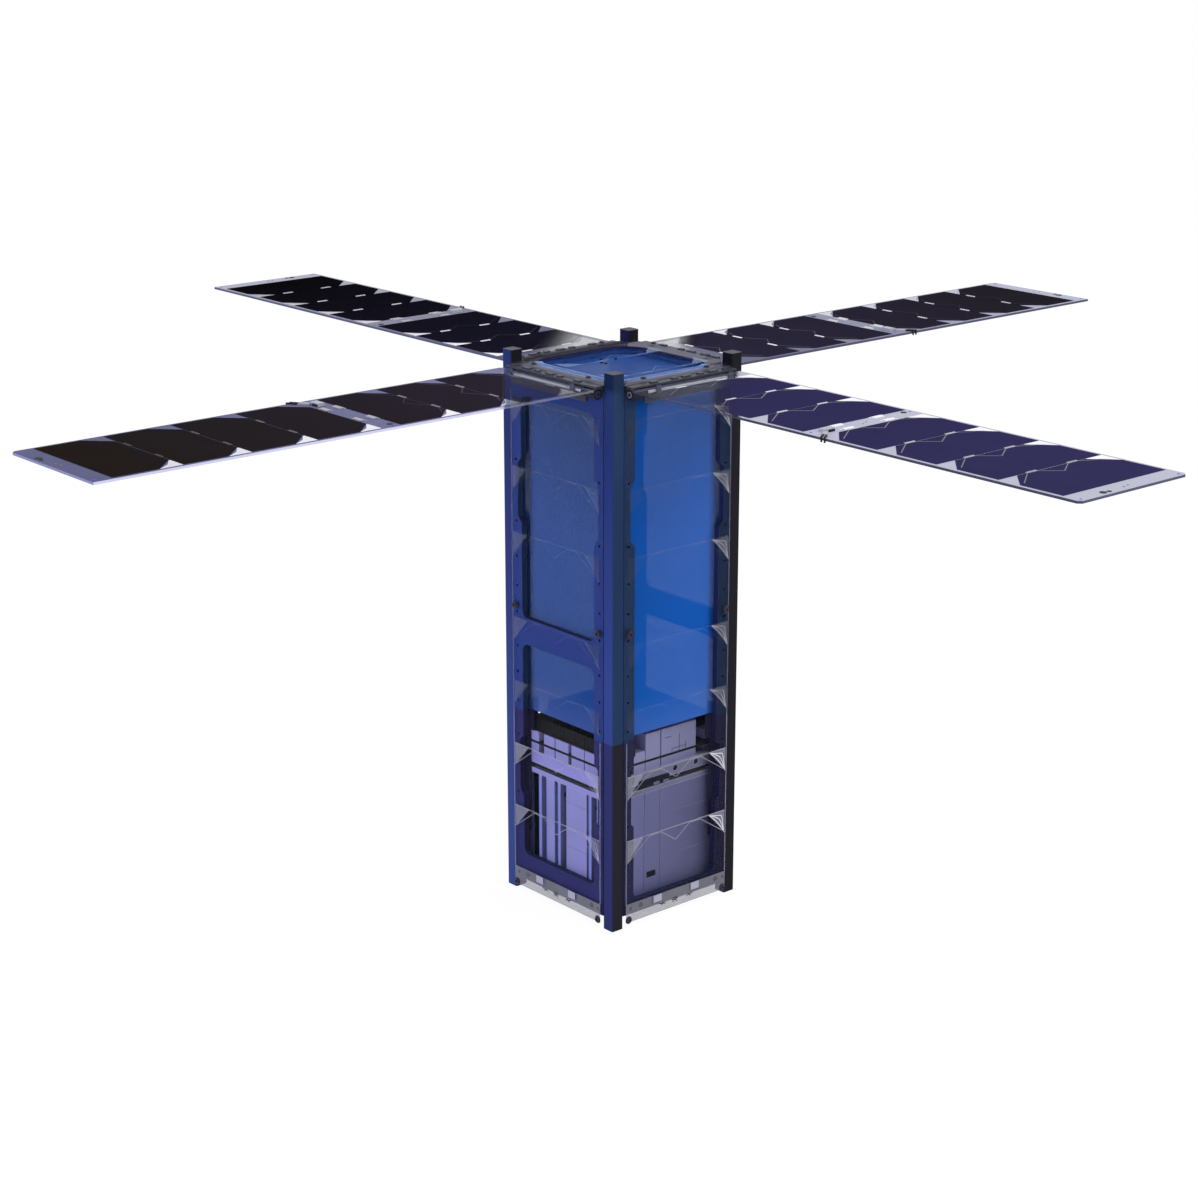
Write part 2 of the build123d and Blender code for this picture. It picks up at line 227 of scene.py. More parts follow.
def makeGrainGroup():
    # Fine speckle of blasted, anodised or moulded surfaces, and slow blotches
    tree, given, result = newGroup(
        "surfaceGrain",
        [("Grain Size", "Float", 0.0006), ("Blotch Size", "Float", 0.02), ("Base Roughness", "Float", 0.5),
         ("Roughness Range", "Float", 0.1), ("Color", "Color", (0.5, 0.5, 0.5, 1)), ("Color Range", "Float", 0.15)],
        [("Height", "Float"), ("Roughness", "Float"), ("Color", "Color")],
    )
    grain, blotch = (
        noise(tree, mathNode(tree, "DIVIDE", 1.0, given[size]), detail)
        for size, detail in (("Grain Size", 2.0), ("Blotch Size", 4.0))
    )
    centred = mathNode(tree, "SUBTRACT", blotch, 0.5)
    roughness = mathNode(tree, "MULTIPLY_ADD", centred, given["Roughness Range"], given["Base Roughness"])
    both = mathNode(tree, "ADD", mathNode(tree, "SUBTRACT", grain, 0.5), centred)
    gain = mathNode(tree, "MULTIPLY_ADD", both, given["Color Range"], 1.0)
    feed(tree, result, {"Height": grain, "Roughness": roughness, "Color": scaled(tree, given["Color"], gain)})
    return tree


wornEdge = {"flat": 0.995, "sharp": 0.8, "breakScale": 240.0, "breakDetail": 3.0, "samples": 4}


def makeWearGroup():
    # 1 along sharp edges, broken up, where the finish is rubbed thin
    tree, given, result = newGroup(
        "edgeWear", [("Width", "Float", 0.0006), ("Amount", "Float", 0.5)], [("Wear", "Float")]
    )
    bevel = addNode(tree, "ShaderNodeBevel", {"Radius": given["Width"]}, samples=wornEdge["samples"])
    flatness = vectorNode(tree, "DOT_PRODUCT", {0: bevel.outputs["Normal"], 1: facesOut(tree)})["Value"]
    sharp = mapped(tree, flatness, wornEdge["flat"], wornEdge["sharp"])
    broken = mathNode(tree, "MULTIPLY", sharp, noise(tree, wornEdge["breakScale"], wornEdge["breakDetail"]))
    feed(tree, result, {"Wear": mathNode(tree, "MULTIPLY", broken, given["Amount"])})
    return tree


def makeFacingGroup():
    # Painted light and shade: a colour for faces that look along X, along Y, or up and down, after how the light falls
    # on each
    tree, given, result = newGroup(
        "facingColor", [(label, "Color", (1, 1, 1, 1)) for label in ("X Faces", "Y Faces", "Level Faces")],
        [("Color", "Color")],
    )
    turned = addNode(
        tree, "ShaderNodeVectorTransform", {0: facesOut(tree)}, vector_type="NORMAL",
        convert_from="WORLD", convert_to="OBJECT",
    )
    parts = axisParts(tree, turned.outputs[0])
    sideways, upwards = (mathNode(tree, "MULTIPLY", parts[axis], parts[axis]) for axis in ("Y", "Z"))
    across = mixColor(tree, sideways, given["X Faces"], given["Y Faces"])
    feed(tree, result, {"Color": mixColor(tree, upwards, across, given["Level Faces"])})
    return tree


def makeFadeGroup():
    # Wings turn clear towards their roots, across a slanting line
    tree, given, result = newGroup(
        "rootFade",
        [("Direction", "Vector", (1, 0, 0)), ("Near", "Float", 0.055), ("Far", "Float", 0.105),
         ("Least", "Float", 0.2)],
        [("Alpha", "Float"), ("Reach", "Float")],
    )
    place = objectPlace(tree)
    parts = axisParts(tree, place)
    reach = mathNode(tree, "MAXIMUM", *(mathNode(tree, "ABSOLUTE", parts[axis]) for axis in ("X", "Y")))
    slanted = vectorNode(tree, "DOT_PRODUCT", {0: place, 1: given["Direction"]})["Value"]
    fade = mapped(tree, slanted, given["Near"], given["Far"], given["Least"], interpolation_type="SMOOTHSTEP")
    feed(tree, result, {"Alpha": fade, "Reach": reach})
    return tree


surfaceGrain = makeGrainGroup()
edgeWear = makeWearGroup()
facingColor = makeFacingGroup()
rootFade = makeFadeGroup()
print("shader groups ready")


# Materials. A look holds its colours and the sizes of its grain, wear and gloss

plainLook = {
    "grain": 0.0005, "blotch": 0.02, "colorRange": 0.12, "bump": 0.25, "specular": 0.1, "wearWidth": 0.0006,
    "wearAmount": 0.35,
}
grainShared = {"roughnessRange": 0.15, "bumpDepth": 0.00003}
waveUnit = 0.314  # scale of a wave texture whose waves are 1 m apart
payloadFoot = 0.1187  # level up to which the lower unit shows plain


def useGroup(tree, group, **values):
    named = {label.replace("_", " "): value for label, value in values.items()}
    return addNode(tree, "ShaderNodeGroup", named, node_tree=group).outputs


# Paints light and shade by the way each face turns
def faced(tree, xFaces, yFaces, levelFaces):
    return useGroup(tree, facingColor, X_Faces=xFaces, Y_Faces=yFaces, Level_Faces=levelFaces)["Color"]


def grained(tree, shader, color, look):
    # Gives the shader its colour, roughness and a fine bump
    look = {**plainLook, **look}
    grain = useGroup(
        tree, surfaceGrain, Grain_Size=look["grain"], Blotch_Size=look["blotch"], Base_Roughness=look["roughness"],
        Roughness_Range=grainShared["roughnessRange"], Color=color, Color_Range=look["colorRange"],
    )
    sizes = {"Strength": look["bump"], "Distance": grainShared["bumpDepth"], "Height": grain["Height"]}
    bump = addNode(tree, "ShaderNodeBump", sizes)
    links = {"Roughness": grain["Roughness"], "Base Color": grain["Color"], "Normal": bump.outputs["Normal"]}
    feed(tree, shader, {**links, "Specular IOR Level": look["specular"]})
    return grain["Color"]


def wornFinish(tree, shader, color, look):
    # Grain over a colour that is rubbed along its edges
    look = {**plainLook, **look}
    wear = useGroup(tree, edgeWear, Width=look["wearWidth"], Amount=look["wearAmount"])["Wear"]
    return grained(tree, shader, mixColor(tree, wear, color, look["wear"]), look)


railLook = {
    "xFaces": (0.014, 0.013, 0.018), "caps": (0.085, 0.083, 0.095), "litX": (0.02, 0.046, 0.116),
    "frontX": (0.02, 0.019, 0.026), "yHigh": (0.022, 0.034, 0.15), "yLow": (0.044, 0.072, 0.27),
    "frontHigh": (0.02, 0.04, 0.2), "frontMiddle": (0.034, 0.062, 0.27), "frontLow": (0.028, 0.033, 0.138),
    "frontBand": (0.02, 0.04, 0.155), "endX": (0.016, 0.0315, 0.0735), "endY": (0.0065, 0.0165, 0.066),
    "backEnd": (0.013, 0.017, 0.072), "rightEnd": (0.007, 0.007, 0.016),
    "rise": (0.04, 0.29), "middleRise": (0.15, 0.29), "bandRise": (0.3, 0.325), "endRise": (0.3285, 0.3325),
    "across": (-0.04, 0.04), "wear": (0.24, 0.25, 0.3), "roughness": 0.42, "grain": 0.0004, "bump": 0.2,
    "specular": 0.03,
}


# Rail colours are painted light and shade: faces that look along Y are blue where the blue side light falls and grow
# darker towards the top, faces along X stay dark, caps are lighter on top, and the ends at the top are painted lighter
# on some sides than others; on the front rail the blue above the payload's foot is a painted glow from the block, with
# a darker band below the top
def railMaterial(tinted):
    material, tree, shader = startMaterial("frontRail" if tinted else "rail")
    look = railLook
    end = runAlong(tree, "Z", *look["endRise"])
    if tinted:
        above = aboveLevel(tree, payloadFoot)
        xFaces = mixColor(tree, end, mixColor(tree, above, look["frontX"], look["litX"]), look["endX"])
        upper = mixColor(tree, runAlong(tree, "Z", *look["middleRise"]), look["frontMiddle"], look["frontHigh"])
        upper = mixColor(tree, runAlong(tree, "Z", *look["bandRise"]), upper, look["frontBand"])
        yFaces = mixColor(tree, above, look["frontLow"], mixColor(tree, end, upper, look["endY"]))
    else:
        xFaces = look["xFaces"]
        yFaces = mixColor(tree, runAlong(tree, "Z", *look["rise"]), look["yLow"], look["yHigh"])
        ends = mixColor(tree, runAlong(tree, "X", *look["across"]), look["backEnd"], look["rightEnd"])
        rear = mathNode(tree, "MULTIPLY", end, runAlong(tree, "Y", *look["across"]))
        yFaces = mixColor(tree, rear, yFaces, ends)
    wornFinish(tree, shader, faced(tree, xFaces, yFaces, look["caps"]), look)
    return material


plateLook = {
    "xFaces": (0.017, 0.038, 0.094), "yFaces": (0.024, 0.047, 0.222), "level": (0.02, 0.03, 0.08),
    "xLow": (0.02, 0.018, 0.058), "yLow": (0.028, 0.027, 0.132), "across": (-0.04, 0.04, 1.0, 0.5),
    "wear": (0.1, 0.12, 0.26), "roughness": 0.46, "specular": 0.03,
}


# Plate colours are painted light and shade: faces that look along Y are bluer and brighter, where the blue side light
# falls, than faces along X; painted shade darkens the plates towards +Y, and above the payload's foot they are bluer as
# a painted glow from the block
def plateMaterial():
    material, tree, shader = startMaterial("sidePlate")
    look = plateLook
    above = aboveLevel(tree, payloadFoot)
    xFaces, yFaces = (mixColor(tree, above, look[axis + "Low"], look[axis + "Faces"]) for axis in ("x", "y"))
    color = faced(tree, xFaces, yFaces, look["level"])
    wornFinish(tree, shader, scaled(tree, color, runAlong(tree, "Y", *look["across"])), look)
    return material


frameLook = {
    # Colour, and the reach that it starts at
    "front": (((0.17, 0.31, 0.68), 0.0), ((0.1, 0.102, 0.185), 0.042), ((0.045, 0.047, 0.078), 0.046)),
    "left": (((0.01, 0.014, 0.047), 0.0), ((0.065, 0.061, 0.085), 0.0405)),
    "right": (((0.009, 0.014, 0.05), 0.0), ((0.173, 0.17, 0.225), 0.0395)),
    "cornerStart": 0.022, "innerReach": 0.0385, "sides": (0.012, 0.014, 0.03),
    "innerSides": (0.003, 0.05, 0.245), "innerRim": (0.002, 0.008, 0.07), "rimLevels": (-0.0022, -0.0008),
    "wear": (0.22, 0.23, 0.3), "wearWidth": 0.0005, "wearAmount": 0.3, "roughness": 0.4, "bump": 0.1,
    "litSpecular": 0.05,
}


def cornerReach(tree, parts, cornerStart):
    # How far out a place is from the middle, followed round the corners
    squares = []
    for axis in ("X", "Y"):
        size = mathNode(tree, "ABSOLUTE", parts[axis])
        over = mathNode(tree, "MAXIMUM", mathNode(tree, "SUBTRACT", size, cornerStart), 0.0)
        squares.append(mathNode(tree, "MULTIPLY", over, over))
    return mathNode(tree, "ADD", mathNode(tree, "SQRT", mathNode(tree, "ADD", *squares)), cornerStart)


def frameMaterial():
    # Frosted border, and an inner rim that takes the block's blue as a painted glow on the two lit sides and is painted
    # dark on the others; the inner walls run from the block's blue to dark at the top; the outer border is painted
    # paler on the +Y side than on the -X side, and only the lit sides get a painted sheen
    material, tree, shader = startMaterial("endFrame")
    look = frameLook
    parts = axisParts(tree, objectPlace(tree))
    reach = cornerReach(tree, parts, look["cornerStart"])
    zones = []
    for zone in ("left", "right", "front"):
        color = look[zone][0][0]
        for outer, limit in look[zone][1:]:
            color = mixColor(tree, mathNode(tree, "GREATER_THAN", reach, limit), color, outer)
        zones.append(color)
    across = mathNode(tree, "GREATER_THAN", mathNode(tree, "ADD", parts["X"], parts["Y"]), 0.0)
    lit = mathNode(tree, "GREATER_THAN", parts["X"], parts["Y"])
    levels = mixColor(tree, lit, mixColor(tree, across, zones[0], zones[1]), zones[2])
    nearRim = mathNode(tree, "GREATER_THAN", reach, look["innerReach"])
    start, end = (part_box("top_frame")[1].z + level for level in look["rimLevels"])
    inner = mixColor(tree, runAlong(tree, "Z", start, end), look["innerSides"], look["innerRim"])
    sides = mixColor(tree, nearRim, inner, look["sides"])
    gloss = mathNode(tree, "MULTIPLY", lit, look["litSpecular"])
    wornFinish(tree, shader, faced(tree, sides, sides, levels), {**look, "specular": gloss})
    return material


filmLook = {
    "grain": 0.0008, "blotch": 0.012, "colorRange": 0.1, "bump": 0.08, "smearScale": 60.0, "smearDetail": 3.0,
    "smearRange": 0.3, "smearLeast": 0.85,
}


def clearMaterial(name, color, low, high, roughness, specular=0.5):
    # Thin clear or frosted film, as dense as given below and above the payload's foot
    material, tree, shader = startMaterial(name)
    look = filmLook
    grained(tree, shader, color, {**look, "roughness": roughness, "specular": specular})
    smear = noise(tree, look["smearScale"], look["smearDetail"])
    uneven = mathNode(tree, "MULTIPLY_ADD", smear, look["smearRange"], look["smearLeast"])
    dense = aboveLevel(tree, payloadFoot, low, high)
    feed(tree, shader, {"Alpha": mathNode(tree, "MULTIPLY", uneven, dense)})
    return material


payloadLook = {
    "xFaces": (0.005, 0.112, 0.53), "yFaces": (0.011, 0.07, 0.315), "top": (0.006, 0.064, 0.31),
    "xFoot": (0.045, 0.15, 0.555), "yFoot": (0.055, 0.105, 0.36), "foot": (0.119, 0.142),
    "shades": (("Z", 0.235, 0.326, 1.0, 0.68), ("X", -0.0305, -0.027, 0.3, 1.0), ("Y", 0.0285, 0.0335, 1.0, 0.35)),
    "topSkin": 0.0004, "alpha": 0.83, "roughness": 0.4, "grain": 0.004, "blotch": 0.05, "colorRange": 0.05,
    "bump": 0.01, "specular": 0.02,
}


def payloadMaterial():
    # Clear blue block; its faces take painted light by the way they turn, it is darker towards its top, and painted
    # shadow darkens two of its corners
    material, tree, shader = startMaterial("payloadBlue")
    look = payloadLook
    risen = runAlong(tree, "Z", *look["foot"])
    xFaces, yFaces = (mixColor(tree, risen, look[axis + "Foot"], look[axis + "Faces"]) for axis in ("x", "y"))
    color = faced(tree, xFaces, yFaces, look["top"])
    for shade in look["shades"]:
        color = scaled(tree, color, runAlong(tree, *shade))
    top = aboveLevel(tree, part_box("payload_block")[1].z - look["topSkin"], soft=look["topSkin"] / 2)
    grained(tree, shader, mixColor(tree, top, color, look["top"]), look)
    feed(tree, shader, {"Alpha": look["alpha"]})
    return material


paleLook = {
    "xFaces": (0.134, 0.137, 0.28), "xHigh": (0.235, 0.238, 0.41), "yFaces": (0.275, 0.265, 0.6),
    "level": (0.24, 0.235, 0.42), "rise": (0.09, 0.1),
    "shades": (("Y", -0.012, 0.034, 1.0, 0.66), ("Y", -0.036, -0.014, 1.35, 1.0)),
    "wear": (0.55, 0.55, 0.75), "wearWidth": 0.0004, "wearAmount": 0.5, "roughness": 0.42, "grain": 0.0006,
    "bump": 0.3,
}


def paleMaterial():
    # Painted light and shade: faces that look along Y are lilac where the blue side light falls; the X faces are greyer
    # on the top blocks, painted shade darkens them towards +Y, and they are lighter towards -Y
    material, tree, shader = startMaterial("paleCover")
    look = paleLook
    xFaces = mixColor(tree, runAlong(tree, "Z", *look["rise"]), look["xFaces"], look["xHigh"])
    for shade in look["shades"]:
        xFaces = scaled(tree, xFaces, runAlong(tree, *shade))
    wornFinish(tree, shader, faced(tree, xFaces, look["yFaces"], look["level"]), look)
    return material


brushedLook = {
    "faces": ((0.15, 0.152, 0.25), (0.28, 0.262, 0.64), (0.24, 0.24, 0.36)), "wear": (0.72, 0.72, 0.82),
    "wearAmount": 1.0, "roughness": 0.36, "grain": 0.0004, "bump": 0.3, "metallic": 0.1,
}


def brushedMaterial():
    # Painted light: faces that look along Y are bluer, where the blue side light falls, than faces along X and level
    # faces
    material, tree, shader = startMaterial("brushedPlate")
    wornFinish(tree, shader, faced(tree, *brushedLook["faces"]), brushedLook)
    feed(tree, shader, {"Metallic": brushedLook["metallic"]})
    return material


darkLook = {
    "wearWidth": 0.0004, "wearAmount": 0.5, "wearGain": 4, "wearLift": 0.02, "grain": 0.0003, "bump": 0.35,
    "specular": 0.08, "ribBump": 0.4, "ribRange": 0.7, "ribLeast": 0.3,
}


def darkMaterial(name, color, roughness, ribSize=None):
    # Black plastic; a rib size gives it fine upright ribs, with painted shade in the grooves between them
    material, tree, shader = startMaterial(name)
    wear = tuple(share * darkLook["wearGain"] + darkLook["wearLift"] for share in color)
    shown = wornFinish(tree, shader, color, {**darkLook, "wear": wear, "roughness": roughness})
    if ribSize:
        flat = vectorNode(tree, "MULTIPLY", {0: objectPlace(tree), 1: (1, 1, 0)})[0]
        sizes = {"Scale": waveUnit / ribSize, "Vector": flat}
        wave = addNode(tree, "ShaderNodeTexWave", sizes, bands_direction="DIAGONAL").outputs["Fac"]
        sizes = {"Strength": darkLook["ribBump"], "Distance": ribSize / 3, "Height": wave}
        ribs = addNode(tree, "ShaderNodeBump", sizes).outputs["Normal"]
        shade = mathNode(tree, "MULTIPLY_ADD", wave, darkLook["ribRange"], darkLook["ribLeast"])
        feed(tree, shader, {"Normal": ribs, "Base Color": scaled(tree, shown, shade)})
    return material


metalLook = {"wearWidth": 0.0004, "wearAmount": 0.7, "grain": 0.0003, "bump": 0.3}


def metalMaterial(name, color, roughness, metallic, wear=(0.7, 0.7, 0.74)):
    material, tree, shader = startMaterial(name)
    wornFinish(tree, shader, color, {**metalLook, "wear": wear, "roughness": roughness})
    feed(tree, shader, {"Metallic": metallic})
    return material


# Slanting line across each wing where it turns clear: direction, near and far
fades = {
    "px": ((1, 1.07, 0), 0.079, 0.0985), "nx": ((-1, -0.9, 0), 0.044, 0.094),
    "py": ((1, 1, 0), 0.036, 0.064), "ny": ((-0.8, -1, 0), 0.086, 0.092),
    "pxBoard": ((1, 1.07, 0), 0.0975, 0.1015),
}
# The least that shows of cells and board there, and of the board's edges
rootLeast = {"px": (0.05, 0.03), "nx": (0.12, 0.3), "py": (0.12, 0.3), "ny": (0.24, 0.05)}  # cells and board
edgeLeast = {"px": 0.6, "nx": 0.6, "py": 0.6, "ny": 0.2}
# Board colours are painted light: each wing's copy is lit or shaded by how the light falls on that wing
boardLooks = {  # sides that look across the wing, and its tip
    "px": ((0.06, 0.06, 0.1), (0.1, 0.1, 0.17)), "nx": ((0.1, 0.1, 0.2), (0.3, 0.3, 0.4)),
    "py": ((0.08, 0.08, 0.14), (0.3, 0.3, 0.4)), "ny": ((0.66, 0.65, 0.86), (0.26, 0.26, 0.44)),
}
# The four wings are painted lit and shaded copies of the same parts
runLooks = {  # near the root, and at the tip
    "board": {
        "px": ((0.48, 0.48, 0.6), (0.47, 0.47, 0.58)), "nx": ((0.05, 0.055, 0.13), (0.43, 0.43, 0.53)),
        "py": ((0.1, 0.105, 0.19), (0.44, 0.45, 0.58)), "ny": ((0.15, 0.153, 0.29), (0.078, 0.081, 0.19)),
    },
    "cells": {
        "px": ((0.029, 0.025, 0.088), (0.032, 0.028, 0.094)), "nx": ((0.007, 0.006, 0.016), (0.0012, 0.001, 0.0018)),
        "py": ((0.022, 0.018, 0.042), (0.015, 0.012, 0.017)), "ny": ((0.021, 0.016, 0.028), (0.015, 0.011, 0.008)),
    },
    "lines": {
        "px": ((0.27, 0.26, 0.25), (0.23, 0.22, 0.22)), "nx": ((0.06, 0.056, 0.062), (0.003, 0.003, 0.004), 0.21),
        "py": ((0.13, 0.122, 0.124), (0.04, 0.035, 0.038), 0.3), "ny": ((0.11, 0.1, 0.115), (0.02, 0.016, 0.013), 0.21),
    },
    "tabs": {
        "px": ((0.85, 0.85, 0.88), (0.42, 0.42, 0.47)), "nx": ((0.95, 0.95, 1.0), (0.6, 0.6, 0.68)),
        "py": ((0.95, 0.95, 1.0), (0.62, 0.62, 0.7)), "ny": ((0.3, 0.29, 0.31), (0.02, 0.017, 0.02)),
    },
    "pads": {
        "px": ((0.95, 0.95, 0.98), (0.9, 0.9, 0.95)), "nx": ((0.95, 0.95, 0.98), (0.34, 0.34, 0.38)),
        "py": ((0.78, 0.78, 0.84), (0.46, 0.46, 0.52)), "ny": ((0.95, 0.95, 0.98), (0.7, 0.7, 0.76)),
    },
    "parts": {
        "px": ((0.95, 0.95, 0.97), (0.9, 0.9, 0.95)), "nx": ((0.4, 0.4, 0.46), (0.4, 0.4, 0.5)),
        "py": ((0.68, 0.68, 0.74), (0.6, 0.6, 0.7)), "ny": ((0.42, 0.42, 0.47), (0.4, 0.4, 0.45)),
    },
}
runStart, runEnd = 0.08, 0.36  # reach at which a wing's colour starts to run, and ends
lineLook = {"pitch": 0.0012, "limit": 0.93, "share": 0.06, "color": (0.25, 0.25, 0.3)}


def fadeOut(tree, side, least):
    direction, near, far = fades[side]
    return useGroup(tree, rootFade, Direction=direction, Near=near, Far=far, Least=least)


def tipRun(tree, fade, near, tip, end=runEnd):
    return mixColor(tree, mapped(tree, fade["Reach"], runStart, end), near, tip)


def boardMaterial(side):
    material, tree, shader = startMaterial("wingBoard_" + side)
    across, tip = boardLooks[side]
    fade = fadeOut(tree, side + "Board" if side + "Board" in fades else side, rootLeast[side][1])
    top = tipRun(tree, fade, *runLooks["board"][side])
    # Painted light and shade by the way each face turns
    color = faced(tree, tip, across, top) if side[1] == "x" else faced(tree, across, tip, top)
    look = {"roughness": 0.45, "grain": 0.0004, "colorRange": 0.08, "bump": 0.15, "specular": 0.05}
    grained(tree, shader, color, look)
    level = mathNode(tree, "ABSOLUTE", axisParts(tree, facesOut(tree))["Z"])
    edge = mathNode(tree, "MULTIPLY_ADD", level, -edgeLeast[side], edgeLeast[side])
    feed(tree, shader, {"Alpha": mathNode(tree, "MAXIMUM", edge, fade["Alpha"])})
    return material


def runMaterial(kind, side, roughness=0.45, least=0.35, specular=0.1, bump=0.2):
    # A wing material whose colour runs from the wing's root to its tip, with painted light and shade that makes it
    # lighter on some wings than on others
    material, tree, shader = startMaterial("wing" + kind.capitalize() + "_" + side)
    fade = fadeOut(tree, side, least)
    color = tipRun(tree, fade, *runLooks[kind][side])
    look = {"roughness": roughness, "grain": 0.0004, "colorRange": 0.2, "bump": bump, "specular": specular}
    shown = grained(tree, shader, color, look)
    feed(tree, shader, {"Alpha": fade["Alpha"]})
    return material, tree, shader, shown


def cellMaterial(side):
    # Dark cover glass over fine collector lines
    material, tree, shader, shown = runMaterial("cells", side, 0.35, rootLeast[side][0], specular=0.0, bump=0.1)
    sizes = {"Scale": waveUnit / lineLook["pitch"], "Vector": objectPlace(tree)}
    direction = "Y" if side[1] == "x" else "X"
    lines = addNode(tree, "ShaderNodeTexWave", sizes, bands_direction=direction).outputs["Fac"]
    thin = mathNode(tree, "GREATER_THAN", lines, lineLook["limit"])
    share = mathNode(tree, "MULTIPLY", thin, lineLook["share"])
    feed(tree, shader, {"Base Color": mixColor(tree, share, shown, lineLook["color"])})
    return material


materials = {
    "rail": railMaterial(False),
    "frontRail": railMaterial(True),
    "plate": plateMaterial(),
    "frame": frameMaterial(),
    "sheet": clearMaterial("clearSheet", (0.3, 0.31, 0.45), 0.01, 0.006, 0.12, 0.2),
    "topSheet": clearMaterial("topSheet", (0.4, 0.42, 0.52), 0.012, 0.012, 0.15, 0.2),
    "payload": payloadMaterial(),
    "pale": paleMaterial(),
    "brushed": brushedMaterial(),
    "core": darkMaterial("coreBlack", (0.006, 0.006, 0.014), 0.6),
    "board": darkMaterial("boardBlack", (0.008, 0.008, 0.012), 0.5),
    "box": darkMaterial("boxBlack", (0.004, 0.004, 0.006), 0.5, ribSize=0.0016),
    "hinge": metalMaterial("hingeMetal", (0.045, 0.047, 0.068), 0.4, 0.1, (0.35, 0.35, 0.42)),
    "leaf": clearMaterial("leafClear", (0.16, 0.2, 0.42), 0.05, 0.05, 0.4, 0.1),
    "pin": metalMaterial("pinSteel", (0.4, 0.4, 0.43), 0.3, 0.8),
    "spring": darkMaterial("springBlack", (0.012, 0.012, 0.018), 0.45),
}
print("materials ready")


nodeLooks = {
    "rail": ("rail_right", "rail_back", "rail_left"), "frontRail": ("rail_front",), "payload": ("payload_block",),
    "frame": ("top_frame", "bottom_frame"), "topSheet": ("clear_sheet_top",),
    "pale": ("lower_module_panels", "lower_module_bars", "pale_blocks"), "brushed": ("middle_plate", "bracket_frame"),
    "core": ("lower_module_core", "lower_module_clips"), "board": ("circuit_boards",), "box": ("black_box",),
}
sideLooks = {
    "plate": "side_plate_", "sheet": "clear_sheet_", "hinge": "hinge_bracket_", "pin": "hinge_pin_",
    "spring": "hinge_spring_", "leaf": "wing_leaf_",
}


def dressNode(name, material):
    slots = nodes[name].material_slots
    for slot in slots:
        slot.material = material
    if not slots:
        nodes[name].data.materials.append(material)


def dressFrame():
    for look, names in nodeLooks.items():
        for name in names:
            dressNode(name, materials[look])
    for side in sideTurns:
        for look, name in sideLooks.items():
            dressNode(name + side, materials[look])
        dressNode("wing_board_" + side, boardMaterial(side))
        dressNode("wing_cells_" + side, cellMaterial(side))


dressFrame()
print("frame dressed")


# Mesh and Geometry Nodes helpers

def addPrism(bm, outline, low, high):
    # Upright prism from an outline in x and y
    lower, upper = ([bm.verts.new((x, y, level)) for x, y in outline] for level in (low, high))
    bm.faces.new(list(reversed(lower)))
    bm.faces.new(upper)
    for i in range(len(outline)):
        bm.faces.new((lower[i - 1], lower[i], upper[i], upper[i - 1]))


def addStrip(bm, start, end, width, low, high):
    # Flat bar between two points
    a, b = Vector(start), Vector(end)
    along = (b - a).normalized()
    aside = Vector((-along.y, along.x)) * width / 2
    addPrism(bm, [a - aside, b - aside, b + aside, a + aside], low, high)


def addBlock(bm, x, y, wide, long, low, high):
    # Flat bar that lies along y, round its middle
    addStrip(bm, (x, y - long / 2), (x, y + long / 2), wide, low, high)


drumCorners = {"gray": 8, "blue": 10, "stud": 10, "hole": 14, "mark": 14, "ring": 16, "disc": 24}


def addDrum(bm, place, radius, kind, low, high):
    turn = 2 * math.pi / drumCorners[kind]
    spots = [(math.cos(i * turn), math.sin(i * turn)) for i in range(drumCorners[kind])]
    addPrism(bm, [(place[0] + radius * x, place[1] + radius * y) for x, y in spots], low, high)


def strokes(rows, width, *levels):
    # Lines on an upright print, given as across, level, across, level
    return [(addStrip, (-b, a), (-d, c), width, *levels) for a, b, c, d in rows]


def draw(shapes, *levels):
    # A mesh from shapes, each a function and its values, and the levels that they share
    bm = bmesh.new()
    for shape, *values in shapes:
        shape(bm, *values, *levels)
    return bm


def toObject(bm, name, material):
    bmesh.ops.recalc_face_normals(bm, faces=bm.faces)
    mesh = bpy.data.meshes.new(name)
    bm.to_mesh(mesh)
    bm.free()
    mesh.materials.append(material)
    return link(name, mesh)


def makeRepeatTree():
    # Repeats the object's own mesh on a grid, rows of columns, and gives it a material
    tree, given, result = newGroup(
        "repeatOnGrid",
        [("Geometry", "Geometry"), ("Rows", "Int"), ("Columns", "Int"), ("Row Pitch", "Float"),
         ("Column Pitch", "Float"), ("First Place", "Vector"), ("Material", "Material")],
        [("Geometry", "Geometry")], "GeometryNodeTree",
    )
    every = given["Geometry"]
    first = {"Start Location": given["First Place"]}
    for count, pitch, axis, start in (("Columns", "Column Pitch", "Y", {}), ("Rows", "Row Pitch", "X", first)):
        offset = addNode(tree, "ShaderNodeCombineXYZ", {axis: given[pitch]}).outputs[0]
        line = addNode(tree, "GeometryNodeMeshLine", {"Count": given[count], "Offset": offset, **start})
        spread = {"Points": line.outputs["Mesh"], "Instance": every}
        every = addNode(tree, "GeometryNodeInstanceOnPoints", spread).outputs["Instances"]
    real = addNode(tree, "GeometryNodeRealizeInstances", {"Geometry": every}).outputs["Geometry"]
    paint = addNode(tree, "GeometryNodeSetMaterial", {"Geometry": real, "Material": given["Material"]})
    feed(tree, result, {"Geometry": paint.outputs["Geometry"]})
    return tree


repeatOnGrid = makeRepeatTree()


def addPiece(bm, name, material, slot, matrix, body="bus"):
    bm.transform(matrix)
    thing = toObject(bm, name, material)
    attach(thing, body)


def addPieces(rows, side="", matrix=Matrix.Identity(4), body="bus"):
    # Rows of name, shapes, material, slot and the levels that the shapes share
    for name, shapes, material, slot, *levels in rows:
        addPiece(draw(shapes, *levels), name + side, materials[material], slot, matrix, body)


